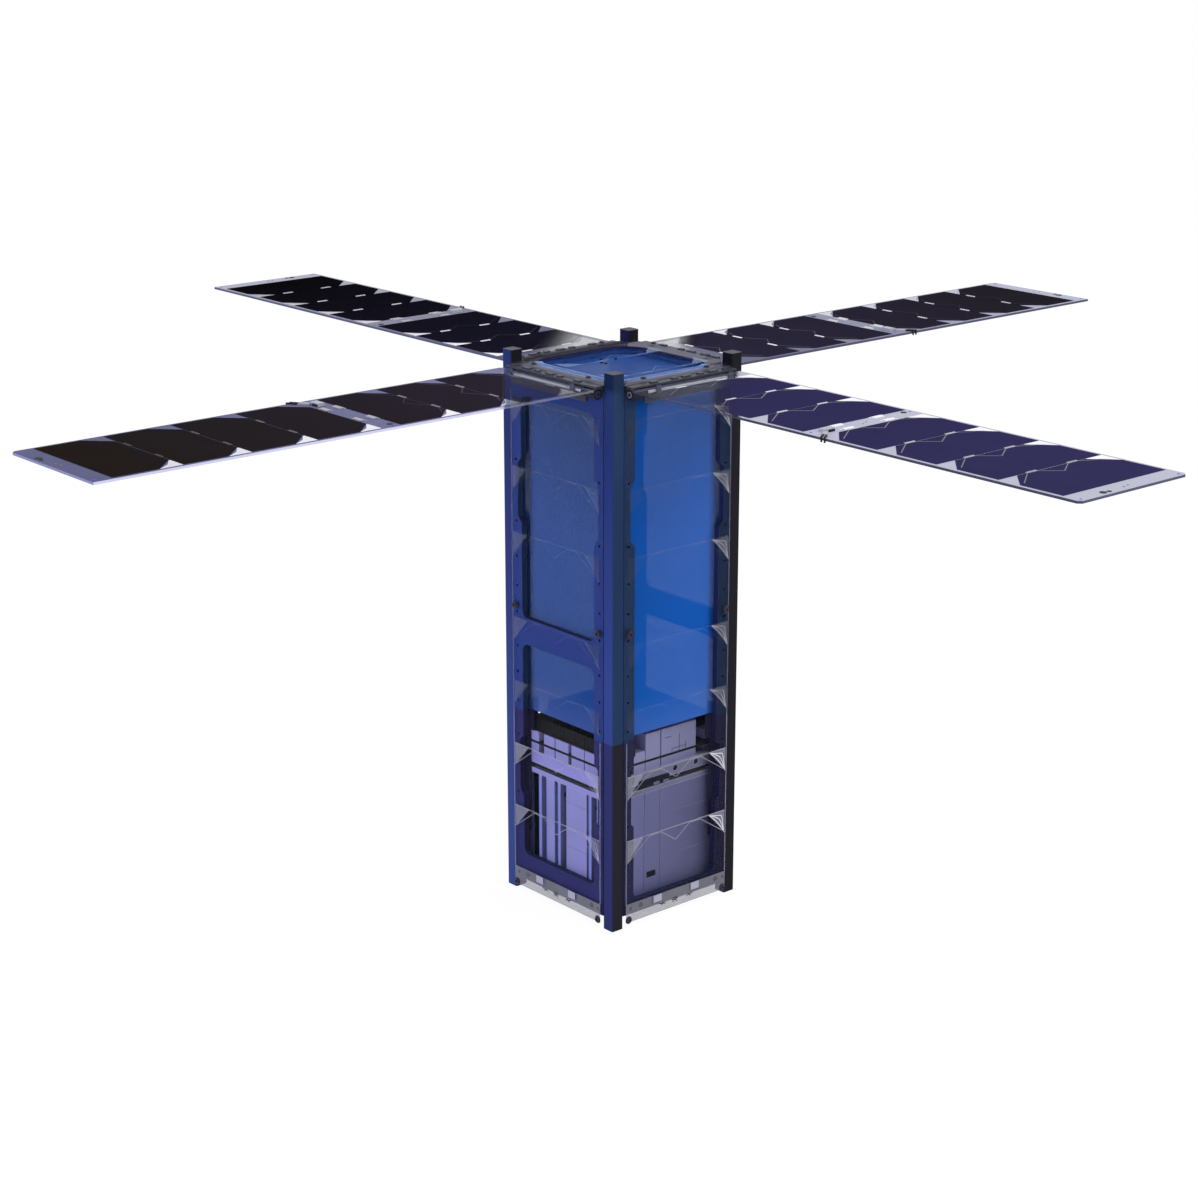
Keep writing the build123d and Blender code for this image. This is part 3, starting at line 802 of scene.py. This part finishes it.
def addRepeats(template, name, slot, grids, matrices, body="bus"):
    # One piece: the template's mesh on grids, at each place; the template goes
    modifier = template.modifiers.new("repeat", "NODES")
    modifier.node_group = repeatOnGrid
    material = template.data.materials[0]
    bm = bmesh.new()
    for grid in grids:
        values = {"Columns": 1, "Column Pitch": 0.0, "Material": material, **grid}
        for item in repeatOnGrid.interface.items_tree:
            if item.in_out == "INPUT" and item.name in values:
                modifier[item.identifier] = values[item.name]
        template.update_tag()
        view = bpy.context.evaluated_depsgraph_get()
        mesh = bpy.data.meshes.new_from_object(template.evaluated_get(view))
        for matrix in matrices:
            part = mesh.copy()
            part.transform(matrix)
            bm.from_mesh(part)
            bpy.data.meshes.remove(part)
    bpy.data.objects.remove(template)
    addPiece(bm, name, material, slot, Matrix.Identity(4), body)


def rowGrids(p, sign=1):
    # The two blocks of rows on a wing or a side sheet
    return [{"Rows": count, "Row Pitch": p["pitch"], "First Place": (sign * start, 0, 0)} for start, count in p["rows"]]


def sideMatrix(side):
    return Matrix.Rotation(math.radians(sideTurns[side]), 4, "Z")


def upright(side):
    # Turns a print's x down along the body and its z outwards, then to its side
    stand = Matrix(((0, 0, 1, 0), (0, 1, 0, 0), (-1, 0, 0, 0), (0, 0, 0, 1)))
    return sideMatrix(side) @ stand


def handOf(side):
    return 1 if side[1] == "x" else -1


# Wing prints: tabs and collector lines of every cell, and a painted glint in one cropped corner of each

cellPrint = inMetres({
    "pitch": 40.6, "halfWidth": 39.0, "crop": 13.0, "tabs": (16.2, -14.8), "tabLength": 7.6, "tabWidth": 1.7,
    "tabShift": -0.5, "beadSize": 0.8, "beadWidth": 1.36, "beadHeight": 0.3, "height": 0.1, "lineHeight": 0.05,
    "lineWidth": 0.6, "lineStart": 0.2, "apex": (9.0, -0.8), "arms": ((12.2, -35.0), (5.0, 29.0)),
    "padDepth": 0.06, "padGap": 1.0, "padBack": -0.5, "padFront": 0.6, "padReach": 1.2, "padEdge": 0.3,
}) | {
    "rows": ((68.8 * mm, 3), (203.2 * mm, 4)), "beads": 5, "padBow": (0.45, 0.58), "least": 0.35, "padLeast": 0.1,
}


def lineTemplate(top, material):
    p = cellPrint
    upper, lower = p["tabs"]
    start, half = p["lineStart"], p["tabLength"] / 2
    ends = (
        ((start, upper - half), p["apex"]), (p["apex"], (start, lower + half)),
        ((start, lower - half), p["arms"][0]), ((start, upper + half), p["arms"][1]),
    )
    lines = [(addStrip, *pair, p["lineWidth"]) for pair in ends]
    return toObject(draw(lines, top, top + p["lineHeight"]), "cellLine", material)


def tabTemplate(top, material):
    # Flat tab with a row of weld beads
    p = cellPrint
    shapes = []
    for middle in p["tabs"]:
        shapes.append((addBlock, p["tabShift"], middle, p["tabWidth"], p["tabLength"], top, top + p["height"]))
        step = p["tabLength"] / p["beads"]
        for i in range(p["beads"]):
            place = middle + (i + 0.5) * step - p["tabLength"] / 2
            bead = (addBlock, p["tabShift"], place, p["beadWidth"], p["beadSize"], top, top + p["beadHeight"])
            shapes.append(bead)
    return toObject(draw(shapes), "cellTab", material)


def glintPadTemplate(level, material):
    # Painted glint: a thin bright pad in one cropped corner of a cell, with a bowed inner edge
    p = cellPrint
    edge = p["halfWidth"] + p["padEdge"]
    deep = p["crop"] - p["padGap"]
    inner = p["halfWidth"] - deep
    bow = (deep * p["padBow"][0], inner + deep * p["padBow"][1])
    corners = ((p["padBack"], edge), (deep + p["padReach"], edge), bow, (p["padFront"], inner), (p["padBack"], inner))
    return toObject(draw([(addPrism, corners)], level, level + p["padDepth"]), "cornerPad", material)


def dressWings():
    p = cellPrint
    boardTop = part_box("wing_board_px")[1].z
    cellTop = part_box("wing_cells_px")[1].z
    kinds = {  # template, its level, slot, the least that shows at the root, and specular
        "lines": (lineTemplate, cellTop, "solar_cell", p["least"], 0.0),
        "tabs": (tabTemplate, cellTop, "solar_cell", p["least"], 0.1),
        "pads": (glintPadTemplate, boardTop, "wing_board", p["padLeast"], 0.1),
    }
    for side in sideTurns:
        for kind, (template, level, slot, least, specular) in kinds.items():
            material = runMaterial(kind, side, least=least, specular=specular)[0]
            row, name, body = template(level, material), f"wing_{kind}_{side}", "wing_" + side
            addRepeats(row, name, slot, rowGrids(p), [sideMatrix(side)], body)


dressWings()
print("wings dressed")


# Small parts on the strips across each wing

stripPart = inMetres({
    "diodes": ((192.0, 15.2), (192.0, -16.0), (200.6, 15.2), (200.6, -16.0)),
    "diodeSize": (3.2, 7.4, 0.5), "edgeSize": (0.7, 10.6, 0.25), "edgeShift": 1.6,
    "latchPlace": (196.8, -28.6), "latchSize": (4.4, 7.6), "latchHeight": 1.7,
    "slotPlace": (199.3, -27.4), "slotSize": (0.9, 4.2), "slotHeight": 1.1,
    "armStart": (199.4, -32.0), "armEnd": (203.4, -37.2), "armWidth": 2.6,
    "legStart": (203.9, -37.0), "legEnd": (207.0, -41.8), "legShifts": (-1.25, 1.25),
    "legWidth": 0.8, "legDrop": 0.9, "legHeight": 0.9, "footShift": 0.15, "footLength": 0.7,
    "marks": ((193.5, 34.0, 1.7), (373.0, -19.5, 1.9), (373.6, -15.6, 1.2)), "markHeight": 0.25,
    "blueDots": ((194.0, 38.4), (194.0, -37.6), (374.0, 37.4), (374.0, -37.4)), "blueRadius": 0.7,
    "grayDots": ((196.0, 2.0), (197.6, -2.0), (371.6, 1.0), (372.4, -3.0)), "grayRadius": 0.6, "dotHeight": 0.2,
})


def addStripParts(side, level, lowest):
    s = stripPart
    diodes = []
    for reach, place in s["diodes"]:
        for shift, (wide, long, tall) in ((0, s["diodeSize"]), (s["edgeShift"], s["edgeSize"])):
            diodes.append((addBlock, reach - shift, place, wide, long, level, level + tall))
    # Release latch: a pale block with a slot, an arm, and two dark legs over the wing's edge
    legTop = level + s["legHeight"]
    latch = [
        (addBlock, *s["latchPlace"], *s["latchSize"], level, level + s["latchHeight"]),
        (addStrip, s["armStart"], s["armEnd"], s["armWidth"], level, legTop),
    ]
    legs = [(addBlock, *s["slotPlace"], *s["slotSize"], level, level + s["slotHeight"])]
    for shift in s["legShifts"]:
        start, end = ((x + shift, y) for x, y in (s["legStart"], s["legEnd"]))
        foot = (end[0], end[1] + s["footShift"], s["legWidth"], s["footLength"])
        legs += [(addStrip, start, end, s["legWidth"], level, legTop), (addBlock, *foot, lowest - s["legDrop"], legTop)]
    marks = (level, level + s["markHeight"])
    legs += [(addDrum, (reach, place), radius, "mark", *marks) for reach, place, radius in s["marks"]]
    blueDots, grayDots = (
        [(addDrum, place, s[color + "Radius"], color) for place in s[color + "Dots"]] for color in ("blue", "gray")
    )
    dots = ("wing_board", level, level + s["dotHeight"])
    # Diode colour carries painted light, lighter on some wings than on others
    materials["diodes"] = runMaterial("parts", side)[0]
    rows = (
        ("wing_diodes_", diodes, "diodes", "wing_board"), ("wing_latch_", latch, "latch", "hinge_metal"),
        ("wing_legs_", legs, "spring", "spring_black"),
        ("wing_blueDots_", blueDots, "blueDots", *dots), ("wing_grayDots_", grayDots, "grayDots", *dots),
    )
    addPieces(rows, side, sideMatrix(side), "wing_" + side)


materials["blueDots"] = metalMaterial("blueStud", (0.08, 0.11, 0.75), 0.4, 0.0, (0.3, 0.35, 0.9))
materials["grayDots"] = metalMaterial("grayStud", (0.16, 0.16, 0.22), 0.4, 0.3)
materials["latch"] = metalMaterial("latchMetal", (0.46, 0.46, 0.54), 0.4, 0.1)
for side in sideTurns:
    addStripParts(side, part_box("wing_board_px")[1].z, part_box("wing_board_px")[0].z)
print("wing strips dressed")


# Prints on the clear side sheets: cell edges, zigzags, corner pads and bands, and painted glints.
# Each is drawn with x down the side and y across it, then stood up on the side

sheetPrint = inMetres({
    "pitch": 40.6, "halfWidth": 39.6, "tabs": (-17.0, 15.0), "tabLength": 8.0, "apex": (8.6, -0.75),
    "armDepth": 14.0, "lineStart": 0.4, "lineWidth": 0.42, "tabWidth": 0.84, "edgeWidth": 0.5, "crop": 13.0,
    "depth": 0.08, "padStart": 0.3, "padReach": 1.5, "bandLow": 3.6, "bandHigh": 15.5, "bandWidth": 81.2,
    "rimPlace": 40.4, "rimWidth": 0.8, "rimTop": 319.0, "glintWidth": 0.5,
}) | {
    "rows": ((178.0 * mm, 4), (312.5 * mm, 3)), "glintBows": (0.1, 0.34, 0.62), "glintSteps": 8,
}


def sheetLines(material):
    p = sheetPrint
    start, width, reach = p["lineStart"], p["lineWidth"], p["tabLength"] / 2
    shapes = [(addBlock, 0, 0, p["edgeWidth"], 2 * p["halfWidth"])]
    for tab, sign in zip(p["tabs"], (-1, 1)):
        shapes += [
            (addStrip, (start, tab - sign * reach), p["apex"], width),
            (addBlock, start, tab, p["tabWidth"], p["tabLength"]),
            (addStrip, (start, tab + sign * reach), (p["armDepth"], sign * p["halfWidth"]), width),
        ]
    return toObject(draw(shapes, sheetFace, sheetFace + p["depth"]), "sheetLine", material)


def sheetPads(material, sign):
    p = sheetPrint
    edge, inner = sign * p["halfWidth"], sign * (p["halfWidth"] - p["crop"])
    corners = ((p["padStart"], inner), (p["padStart"], edge), (p["crop"] + p["padReach"], edge))
    return toObject(draw([(addPrism, corners)], sheetFace, sheetFace + p["depth"] / 2), "sheetPad", material)


def sheetGlints(material):
    # Painted glint: curved bright strokes fanning out in the right hand corner
    p = sheetPrint
    low, high = sheetFace + p["depth"] / 2, sheetFace + p["depth"]
    start = Vector((p["lineStart"], p["halfWidth"] - p["crop"]))
    end, corner = (Vector((x, p["halfWidth"])) for x in (p["crop"] + p["padReach"], p["lineStart"]))
    shapes = []
    for bow in p["glintBows"]:
        last = start
        for i in range(1, p["glintSteps"] + 1):
            along = i / p["glintSteps"]
            place = start.lerp(end, along).lerp(corner, bow * 4 * along * (1 - along))
            shapes.append((addStrip, last, place, p["glintWidth"]))
            last = place
    return toObject(draw(shapes, low, high), "sheetGlint", material)


def dressSheets():
    p = sheetPrint
    kinds = {
        "lines": sheetLines, "leftPads": lambda material: sheetPads(material, -1),
        "rightPads": lambda material: sheetPads(material, 1), "glints": sheetGlints,
    }
    thin = ("clear_sheet", sheetFace, sheetFace + p["depth"] / 2)
    for side in sideTurns:
        stand = upright(side)
        for kind, template in kinds.items():
            look = sheetLooks[kind][0 if side[1] == "x" else 1]
            material = clearMaterial("sheet" + kind.capitalize() + "_" + side, *look, roughness=0.4, specular=0.1)
            addRepeats(template(material), f"sheet_{kind}_{side}", "clear_sheet", rowGrids(p, -1), [stand])
        band = [(addStrip, (-p["bandHigh"], 0), (-p["bandLow"], 0), p["bandWidth"])]
        rims = []
        for sign, top in ((1, p["rimTop"]), (-1, payloadFoot)):
            place = handOf(side) * sign * p["rimPlace"]
            rims.append((addStrip, (-top, place), (-p["bandHigh"], place), p["rimWidth"]))
        rows = (("sheet_band_", band, "band", *thin), ("sheet_rims_", rims, "rim", *thin))
        addPieces(rows, side, stand)


sheetThick = 1.2 * mm
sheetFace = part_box("clear_sheet_px")[0].x + sheetThick
# The glints are painted highlight, and the corner pads, a print, are denser on the sides where they catch the light, as
# painted highlight
sheetLooks = {  # colour, and how dense it is below and above the payload's foot: +X and -X sides, then the others
    "lines": (((0.46, 0.45, 0.52), 0.6, 0.05), ((0.46, 0.45, 0.56), 0.5, 0.05)),
    "leftPads": (((0.42, 0.42, 0.52), 0.4, 0.02), ((0.4, 0.4, 0.52), 0.36, 0.12)),
    "rightPads": (((0.42, 0.42, 0.52), 0.34, 0.1), ((0.42, 0.42, 0.6), 0.22, 0.03)),
    "glints": (((0.95, 0.95, 1.0), 0.7, 0.2), ((0.6, 0.6, 0.95), 0.5, 0.05)),
}
materials["band"] = clearMaterial("frostedBand", (0.27, 0.27, 0.33), 0.55, 0.55, 0.5)
materials["rim"] = clearMaterial("sheetRim", (0.3, 0.3, 0.42), 0.42, 0.2, 0.4)
dressSheets()
print("side sheets dressed")


# Marks on the foot of each side sheet, and pale caps on its clips

footMark = inMetres({
    "clips": (-15.75, 14.75), "clipLevel": 13.4, "clipWide": 6.6, "clipTall": 4.6, "capLow": 0.8, "capHigh": 0.85,
    "rings": ((-36.6, 12.2, 1.1), (-28.6, 12.6, 1.7), (32.6, 12.6, 1.7), (38.6, 12.2, 1.1)),
    "strokes": ((-14.0, 8.9, -8.4, 7.9), (-12.0, 7.4, -9.6, 9.4), (-3.4, 8.6, 1.6, 8.6), (-2.8, 6.8, -1.0, 8.4),
                (0.9, 6.8, -0.9, 8.4), (-2.6, 9.6, 0.8, 9.6), (8.2, 8.0, 13.4, 8.9), (9.4, 9.4, 11.9, 7.2)),
    "strokeWidth": 0.5, "printLow": 0.04, "ringHigh": 0.12, "strokeHigh": 0.14,
})


def addFootMarks():
    f = footMark
    low, ringTop, strokeTop, capLow, capTop = (
        sheetFace + f[name] for name in ("printLow", "ringHigh", "strokeHigh", "capLow", "capHigh")
    )
    caps = [(addBlock, -f["clipLevel"], place, f["clipTall"], f["clipWide"]) for place in f["clips"]]
    rings = [(addDrum, (-level, place), radius, "ring") for place, level, radius in f["rings"]]
    marks = strokes(f["strokes"], f["strokeWidth"])
    rows = (
        ("clip_caps_", caps, "clipCap", "clear_sheet", capLow, capTop),
        ("foot_rings_", rings, "foot", "clear_sheet", low, ringTop),
        ("foot_strokes_", marks, "spring", "spring_black", low, strokeTop),
    )
    for side in sideTurns:
        addPieces(rows, side, upright(side))


materials["clipCap"] = clearMaterial("clipCap", (0.48, 0.48, 0.62), 0.85, 0.85, 0.4)
materials["foot"] = clearMaterial("footRing", (0.16, 0.16, 0.19), 0.5, 0.5, 0.4)
addFootMarks()
print("sheet feet dressed")


# Details of the equipment seen through the windows

innerDetail = inMetres({
    "panelFace": 42.0, "slot": (25.1, -12.05, 3.9, 7.4), "slotLow": -1.95, "slotHigh": -0.2,
    "panelLines": ((-37.0, 68.6, -17.9, 68.6), (-5.0, 61.8, 37.5, 61.8), (-5.0, 34.0, 37.5, 34.0),
                   (-17.4, 19.6, -37.0, 19.6)),
    "lineWidth": 0.25, "lineHeight": 0.05, "recess": ((-22.5, 84.9, 2.4, 84.9),), "recessTall": 5.2,
    "recessHeight": 0.08, "recessBlocks": ((-10.4, 83.2, -6.0, 83.2), (-2.6, 82.9, 1.6, 82.9)),
    "recessBlockTall": 1.6, "recessBlockHeight": 0.5,
    "blockLines": ((-1.7, 110.2, 3.4, 110.2), (4.3, 102.2, 15.6, 102.2), (4.3, 102.2, 4.3, 98.2),
                   (10.2, 110.5, 10.2, 99.6), (15.4, 104.6, 15.4, 98.4)),
    "blockLineWidth": 0.3, "blockLineHeight": 0.06,
    "holes": (7.2, 24.2), "holeRadius": 1.8, "notch": (-26.8, 5.6, 2.4), "liningLow": -2.5, "liningHigh": -0.5,
    "liner": ((40.0, 119.3, 31.6, 38.4), (106.0, 119.8, 28.4, 31.8)), "linerLow": 45.2, "linerHigh": 45.7,
    "barEdges": (-24.45, -22.15, -17.35, -9.75, -6.45, -4.15, 22.55, 24.85, 30.15), "barFace": 45.0,
    "barLow": 13.2, "barHigh": 77.0, "barEdgeWidth": 0.35, "barEdgeHeight": 0.15,
    "barLines": ((1.6, 68.6, 20.2, 68.6), (1.6, 40.0, 20.2, 40.0)),
})


def addInnerDetails():
    d = innerDetail
    face, bars = d["panelFace"], d["barFace"]
    low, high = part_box("bracket_frame")  # painted shade: dark discs and a block go into the bracket's holes and notch
    level, depths = (low.z + high.z) / 2, (high.x + d["liningLow"], high.x + d["liningHigh"])
    height, place, tall, wide = d["slot"]
    # Painted shade: dark blocks in the slot, the recess and the bracket's holes and notch; the block lines are dark
    # seams
    dark = [(addBlock, -height, place, tall, wide, face + d["slotLow"], face + d["slotHigh"])]
    dark += strokes(d["blockLines"], d["blockLineWidth"], face, face + d["blockLineHeight"])
    dark += strokes(d["recess"], d["recessTall"], face, face + d["recessHeight"])
    dark += [(addDrum, (-level, place), d["holeRadius"], "hole", *depths) for place in d["holes"]]
    dark.append((addBlock, -level, *d["notch"], *depths))
    blocks = strokes(d["recessBlocks"], d["recessBlockTall"])
    panelLines, barLines = (strokes(d[rows], d["lineWidth"]) for rows in ("panelLines", "barLines"))
    liners = []
    for start, end, inner, outer in d["liner"]:
        for middle in ((inner + outer) / 2, -(inner + outer) / 2):
            liners.append((addStrip, (-end, middle), (-start, middle), outer - inner))
    # Painted highlights: bright blue lines along the bar edges, where the blue side light catches them
    barEdges = [
        (addStrip, (-d["barHigh"], place), (-d["barLow"], place), d["barEdgeWidth"]) for place in d["barEdges"]
    ]
    panelRows = (
        ("panel_slots_", dark, "core", "dark_plastic"),
        ("panel_blocks_", blocks, "pale", "pale_cover", face + d["recessHeight"], face + d["recessBlockHeight"]),
        ("panel_lines_", panelLines, "groove", "pale_cover", face, face + d["lineHeight"]),
    )
    barRows = (
        ("bar_edges_", barEdges, "blueEdge", "pale_cover", bars, bars + d["barEdgeHeight"]),
        ("bar_lines_", barLines, "groove", "pale_cover", bars, bars + d["lineHeight"]),
    )
    linerRows = (("liner_strips_", liners, "liner", "dark_plastic", d["linerLow"], d["linerHigh"]),)
    for sides, rows in ((("px", "nx"), panelRows), (sideTurns, linerRows), (("py", "ny"), barRows)):
        for side in sides:
            addPieces(rows, side, upright(side))


materials["liner"] = darkMaterial("linerNavy", (0.008, 0.007, 0.03), 0.5)
materials["groove"] = metalMaterial("groove", (0.1, 0.1, 0.18), 0.5, 0.0)
# Painted highlight for the bar edges
materials["blueEdge"] = metalMaterial("blueEdge", (0.1, 0.22, 0.8), 0.35, 0.0, (0.3, 0.4, 0.9))
addInnerDetails()
print("equipment detailed")


# Top sheet: prints of two cells and tabs, painted glints in the cropped cell corners, and small studs

topPrint = inMetres({
    "edges": (-6.0, 34.5), "halfWidth": 37.5, "crop": 13.0, "tabs": (20.0, -11.0), "tabWidth": 1.2,
    "tabLength": 8.0, "edgeWidth": 0.4, "lineWidth": 0.35, "lineHeight": 0.05, "apexBack": 9.0, "apexPlace": 4.0,
    "zigzag": (16.0, -7.0), "padBack": 0.4, "padHeight": 0.03,
    "dots": ((-17.1, -8.4), (-9.9, -7.6), (-1.6, -14.2), (2.2, -14.2), (-4.9, -0.5)), "dotRadius": 1.0,
    "dotHeight": 0.8,
})


def dressTop():
    p = topPrint
    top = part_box("clear_sheet_top")[1].z
    lines, pads = [], []
    for edge in p["edges"]:
        apex, back = (edge - p["apexBack"], p["apexPlace"]), edge - p["padBack"]
        lines.append((addBlock, edge, 0, p["edgeWidth"], 2 * p["halfWidth"]))
        lines += [(addStrip, (edge, start), apex, p["lineWidth"]) for start in p["zigzag"]]
        lines += [(addBlock, edge, tab, p["tabWidth"], p["tabLength"]) for tab in p["tabs"]]
        for sign in (1, -1):
            side, inner = sign * p["halfWidth"], sign * (p["halfWidth"] - p["crop"])
            pads.append((addPrism, ((back, inner), (back, side), (edge - p["crop"], side))))
    dots = [(addDrum, place, p["dotRadius"], "stud") for place in p["dots"]]
    addPieces((
        ("top_lines", lines, "topLine", "clear_sheet", top, top + p["lineHeight"]),
        ("top_pads", pads, "topPad", "clear_sheet", top, top + p["padHeight"]),
        ("top_dots", dots, "spring", "spring_black", top, top + p["dotHeight"]),
    ))


materials["topLine"] = clearMaterial("topLine", (0.55, 0.7, 0.95), 0.22, 0.22, 0.4)
# Pale blue corner pads that carry a painted glint
materials["topPad"] = clearMaterial("topPad", (0.45, 0.6, 0.9), 0.2, 0.2, 0.5)
dressTop()
print("top dressed")


# End caps and rings on the hinge springs, and small blocks along the flange

hingeTrim = inMetres({
    "reach": 53.8, "level": 328.5,
    # Radius, and start and end along the hinge line
    "discs": {"cap": (3.1, -41.2, -38.6), "ring": (1.9, -41.35, -41.2), "hole": (1.0, -41.45, -41.3)},
    "blocks": ((-22.0, 5.0), (-6.0, 4.0), (3.0, 6.0), (14.0, 4.0), (24.0, 6.5), (34.0, 3.5)),
    "blockReach": 52.6, "blockDepth": 2.6, "blockHeight": 0.9,
})


def addHingeTrim():
    h = hingeTrim
    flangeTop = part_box("hinge_bracket_px")[1].z
    # The discs are drawn upright, then laid along the hinge line
    lay = Matrix(((1, 0, 0, h["reach"]), (0, 0, 1, 0), (0, -1, 0, h["level"]), (0, 0, 0, 1)))
    for side in sideTurns:
        hand, turn = handOf(side), sideMatrix(side)
        # The rings are lit on the X sides and painted shaded on the Y sides; the dark hole disc is painted shade
        looks = {"ring": ("ring" if hand > 0 else "dullRing", "pin_steel")}
        for kind, (radius, *ends) in h["discs"].items():
            look = (*looks.get(kind, ("spring", "spring_black")), *sorted(hand * end for end in ends))
            addPieces(((f"hinge_{kind}_", [(addDrum, (0, 0), radius, "disc")], *look),), side, turn @ lay)
        blocks = [(addBlock, h["blockReach"], hand * place, h["blockDepth"], wide) for place, wide in h["blocks"]]
        row = ("hinge_blocks_", blocks, "hinge", "hinge_metal", flangeTop, flangeTop + h["blockHeight"])
        addPieces((row,), side, turn)


# One ring in two copies: lit, and painted shaded
materials["ring"] = metalMaterial("ringSteel", (0.16, 0.17, 0.24), 0.35, 0.3)
materials["dullRing"] = metalMaterial("dullRing", (0.04, 0.046, 0.08), 0.4, 0.2, (0.12, 0.14, 0.24))
addHingeTrim()
print("hinges trimmed")


# Screws with washers, four on each side sheet and four on the top sheet

screw = inMetres({
    "radius": 1.9, "height": 1.0, "washerWidth": 0.5, "washerHeight": 0.25, "chamfer": 0.2, "socketRadius": 0.95,
    "socketFloor": 0.855, "socketDepth": 0.7, "across": 76.8, "lowLevel": 5.2, "highLevel": 185.5,
    "topInset": 3.2, "topLine": 24.5, "topRadius": 1.5,
})
screwCorners = 24


def screwTemplate(radius, material):
    # Turned head with a socket, standing on z = 0, made as rings from the outside in
    s = screw
    washer, top = radius + s["washerWidth"], s["height"]
    profile = (
        (washer, 0.0), (washer, s["washerHeight"]), (radius, s["washerHeight"]), (radius, top - s["chamfer"]),
        (radius - s["chamfer"], top), (s["socketRadius"], top), (s["socketFloor"], top - s["socketDepth"]),
    )
    bm = bmesh.new()
    turns = [2 * math.pi * i / screwCorners for i in range(screwCorners)]
    rings = [[bm.verts.new((r * math.cos(turn), r * math.sin(turn), z)) for turn in turns] for r, z in profile]
    for lower, upper in zip(rings, rings[1:]):
        for i in range(screwCorners):
            bm.faces.new((lower[i - 1], lower[i], upper[i], upper[i - 1]))
    bm.faces.new(rings[-1])
    bm.faces.new(list(reversed(rings[0])))
    return toObject(bm, "screw", material)


def addScrews():
    s = screw
    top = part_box("clear_sheet_top")[1]
    inset = top.x - s["topInset"]
    grids = {
        "sheet_screws": (s["radius"], s["highLevel"] - s["lowLevel"], s["across"],
                         (-s["highLevel"], -s["across"] / 2, sheetFace), [upright(side) for side in sideTurns]),
        "top_screws": (s["topRadius"], 2 * inset, 2 * s["topLine"], (-inset, -s["topLine"], top.z),
                       [sideMatrix("px"), sideMatrix("py")]),
    }
    for name, (radius, rowPitch, columnPitch, first, matrices) in grids.items():
        grid = {"Rows": 2, "Columns": 2, "Row Pitch": rowPitch, "Column Pitch": columnPitch, "First Place": first}
        addRepeats(screwTemplate(radius, materials["screw"]), name, "pin_steel", [grid], matrices)


materials["screw"] = metalMaterial("screwSteel", (0.034, 0.031, 0.048), 0.35, 0.3, (0.24, 0.22, 0.34))
addScrews()
print("screws placed")
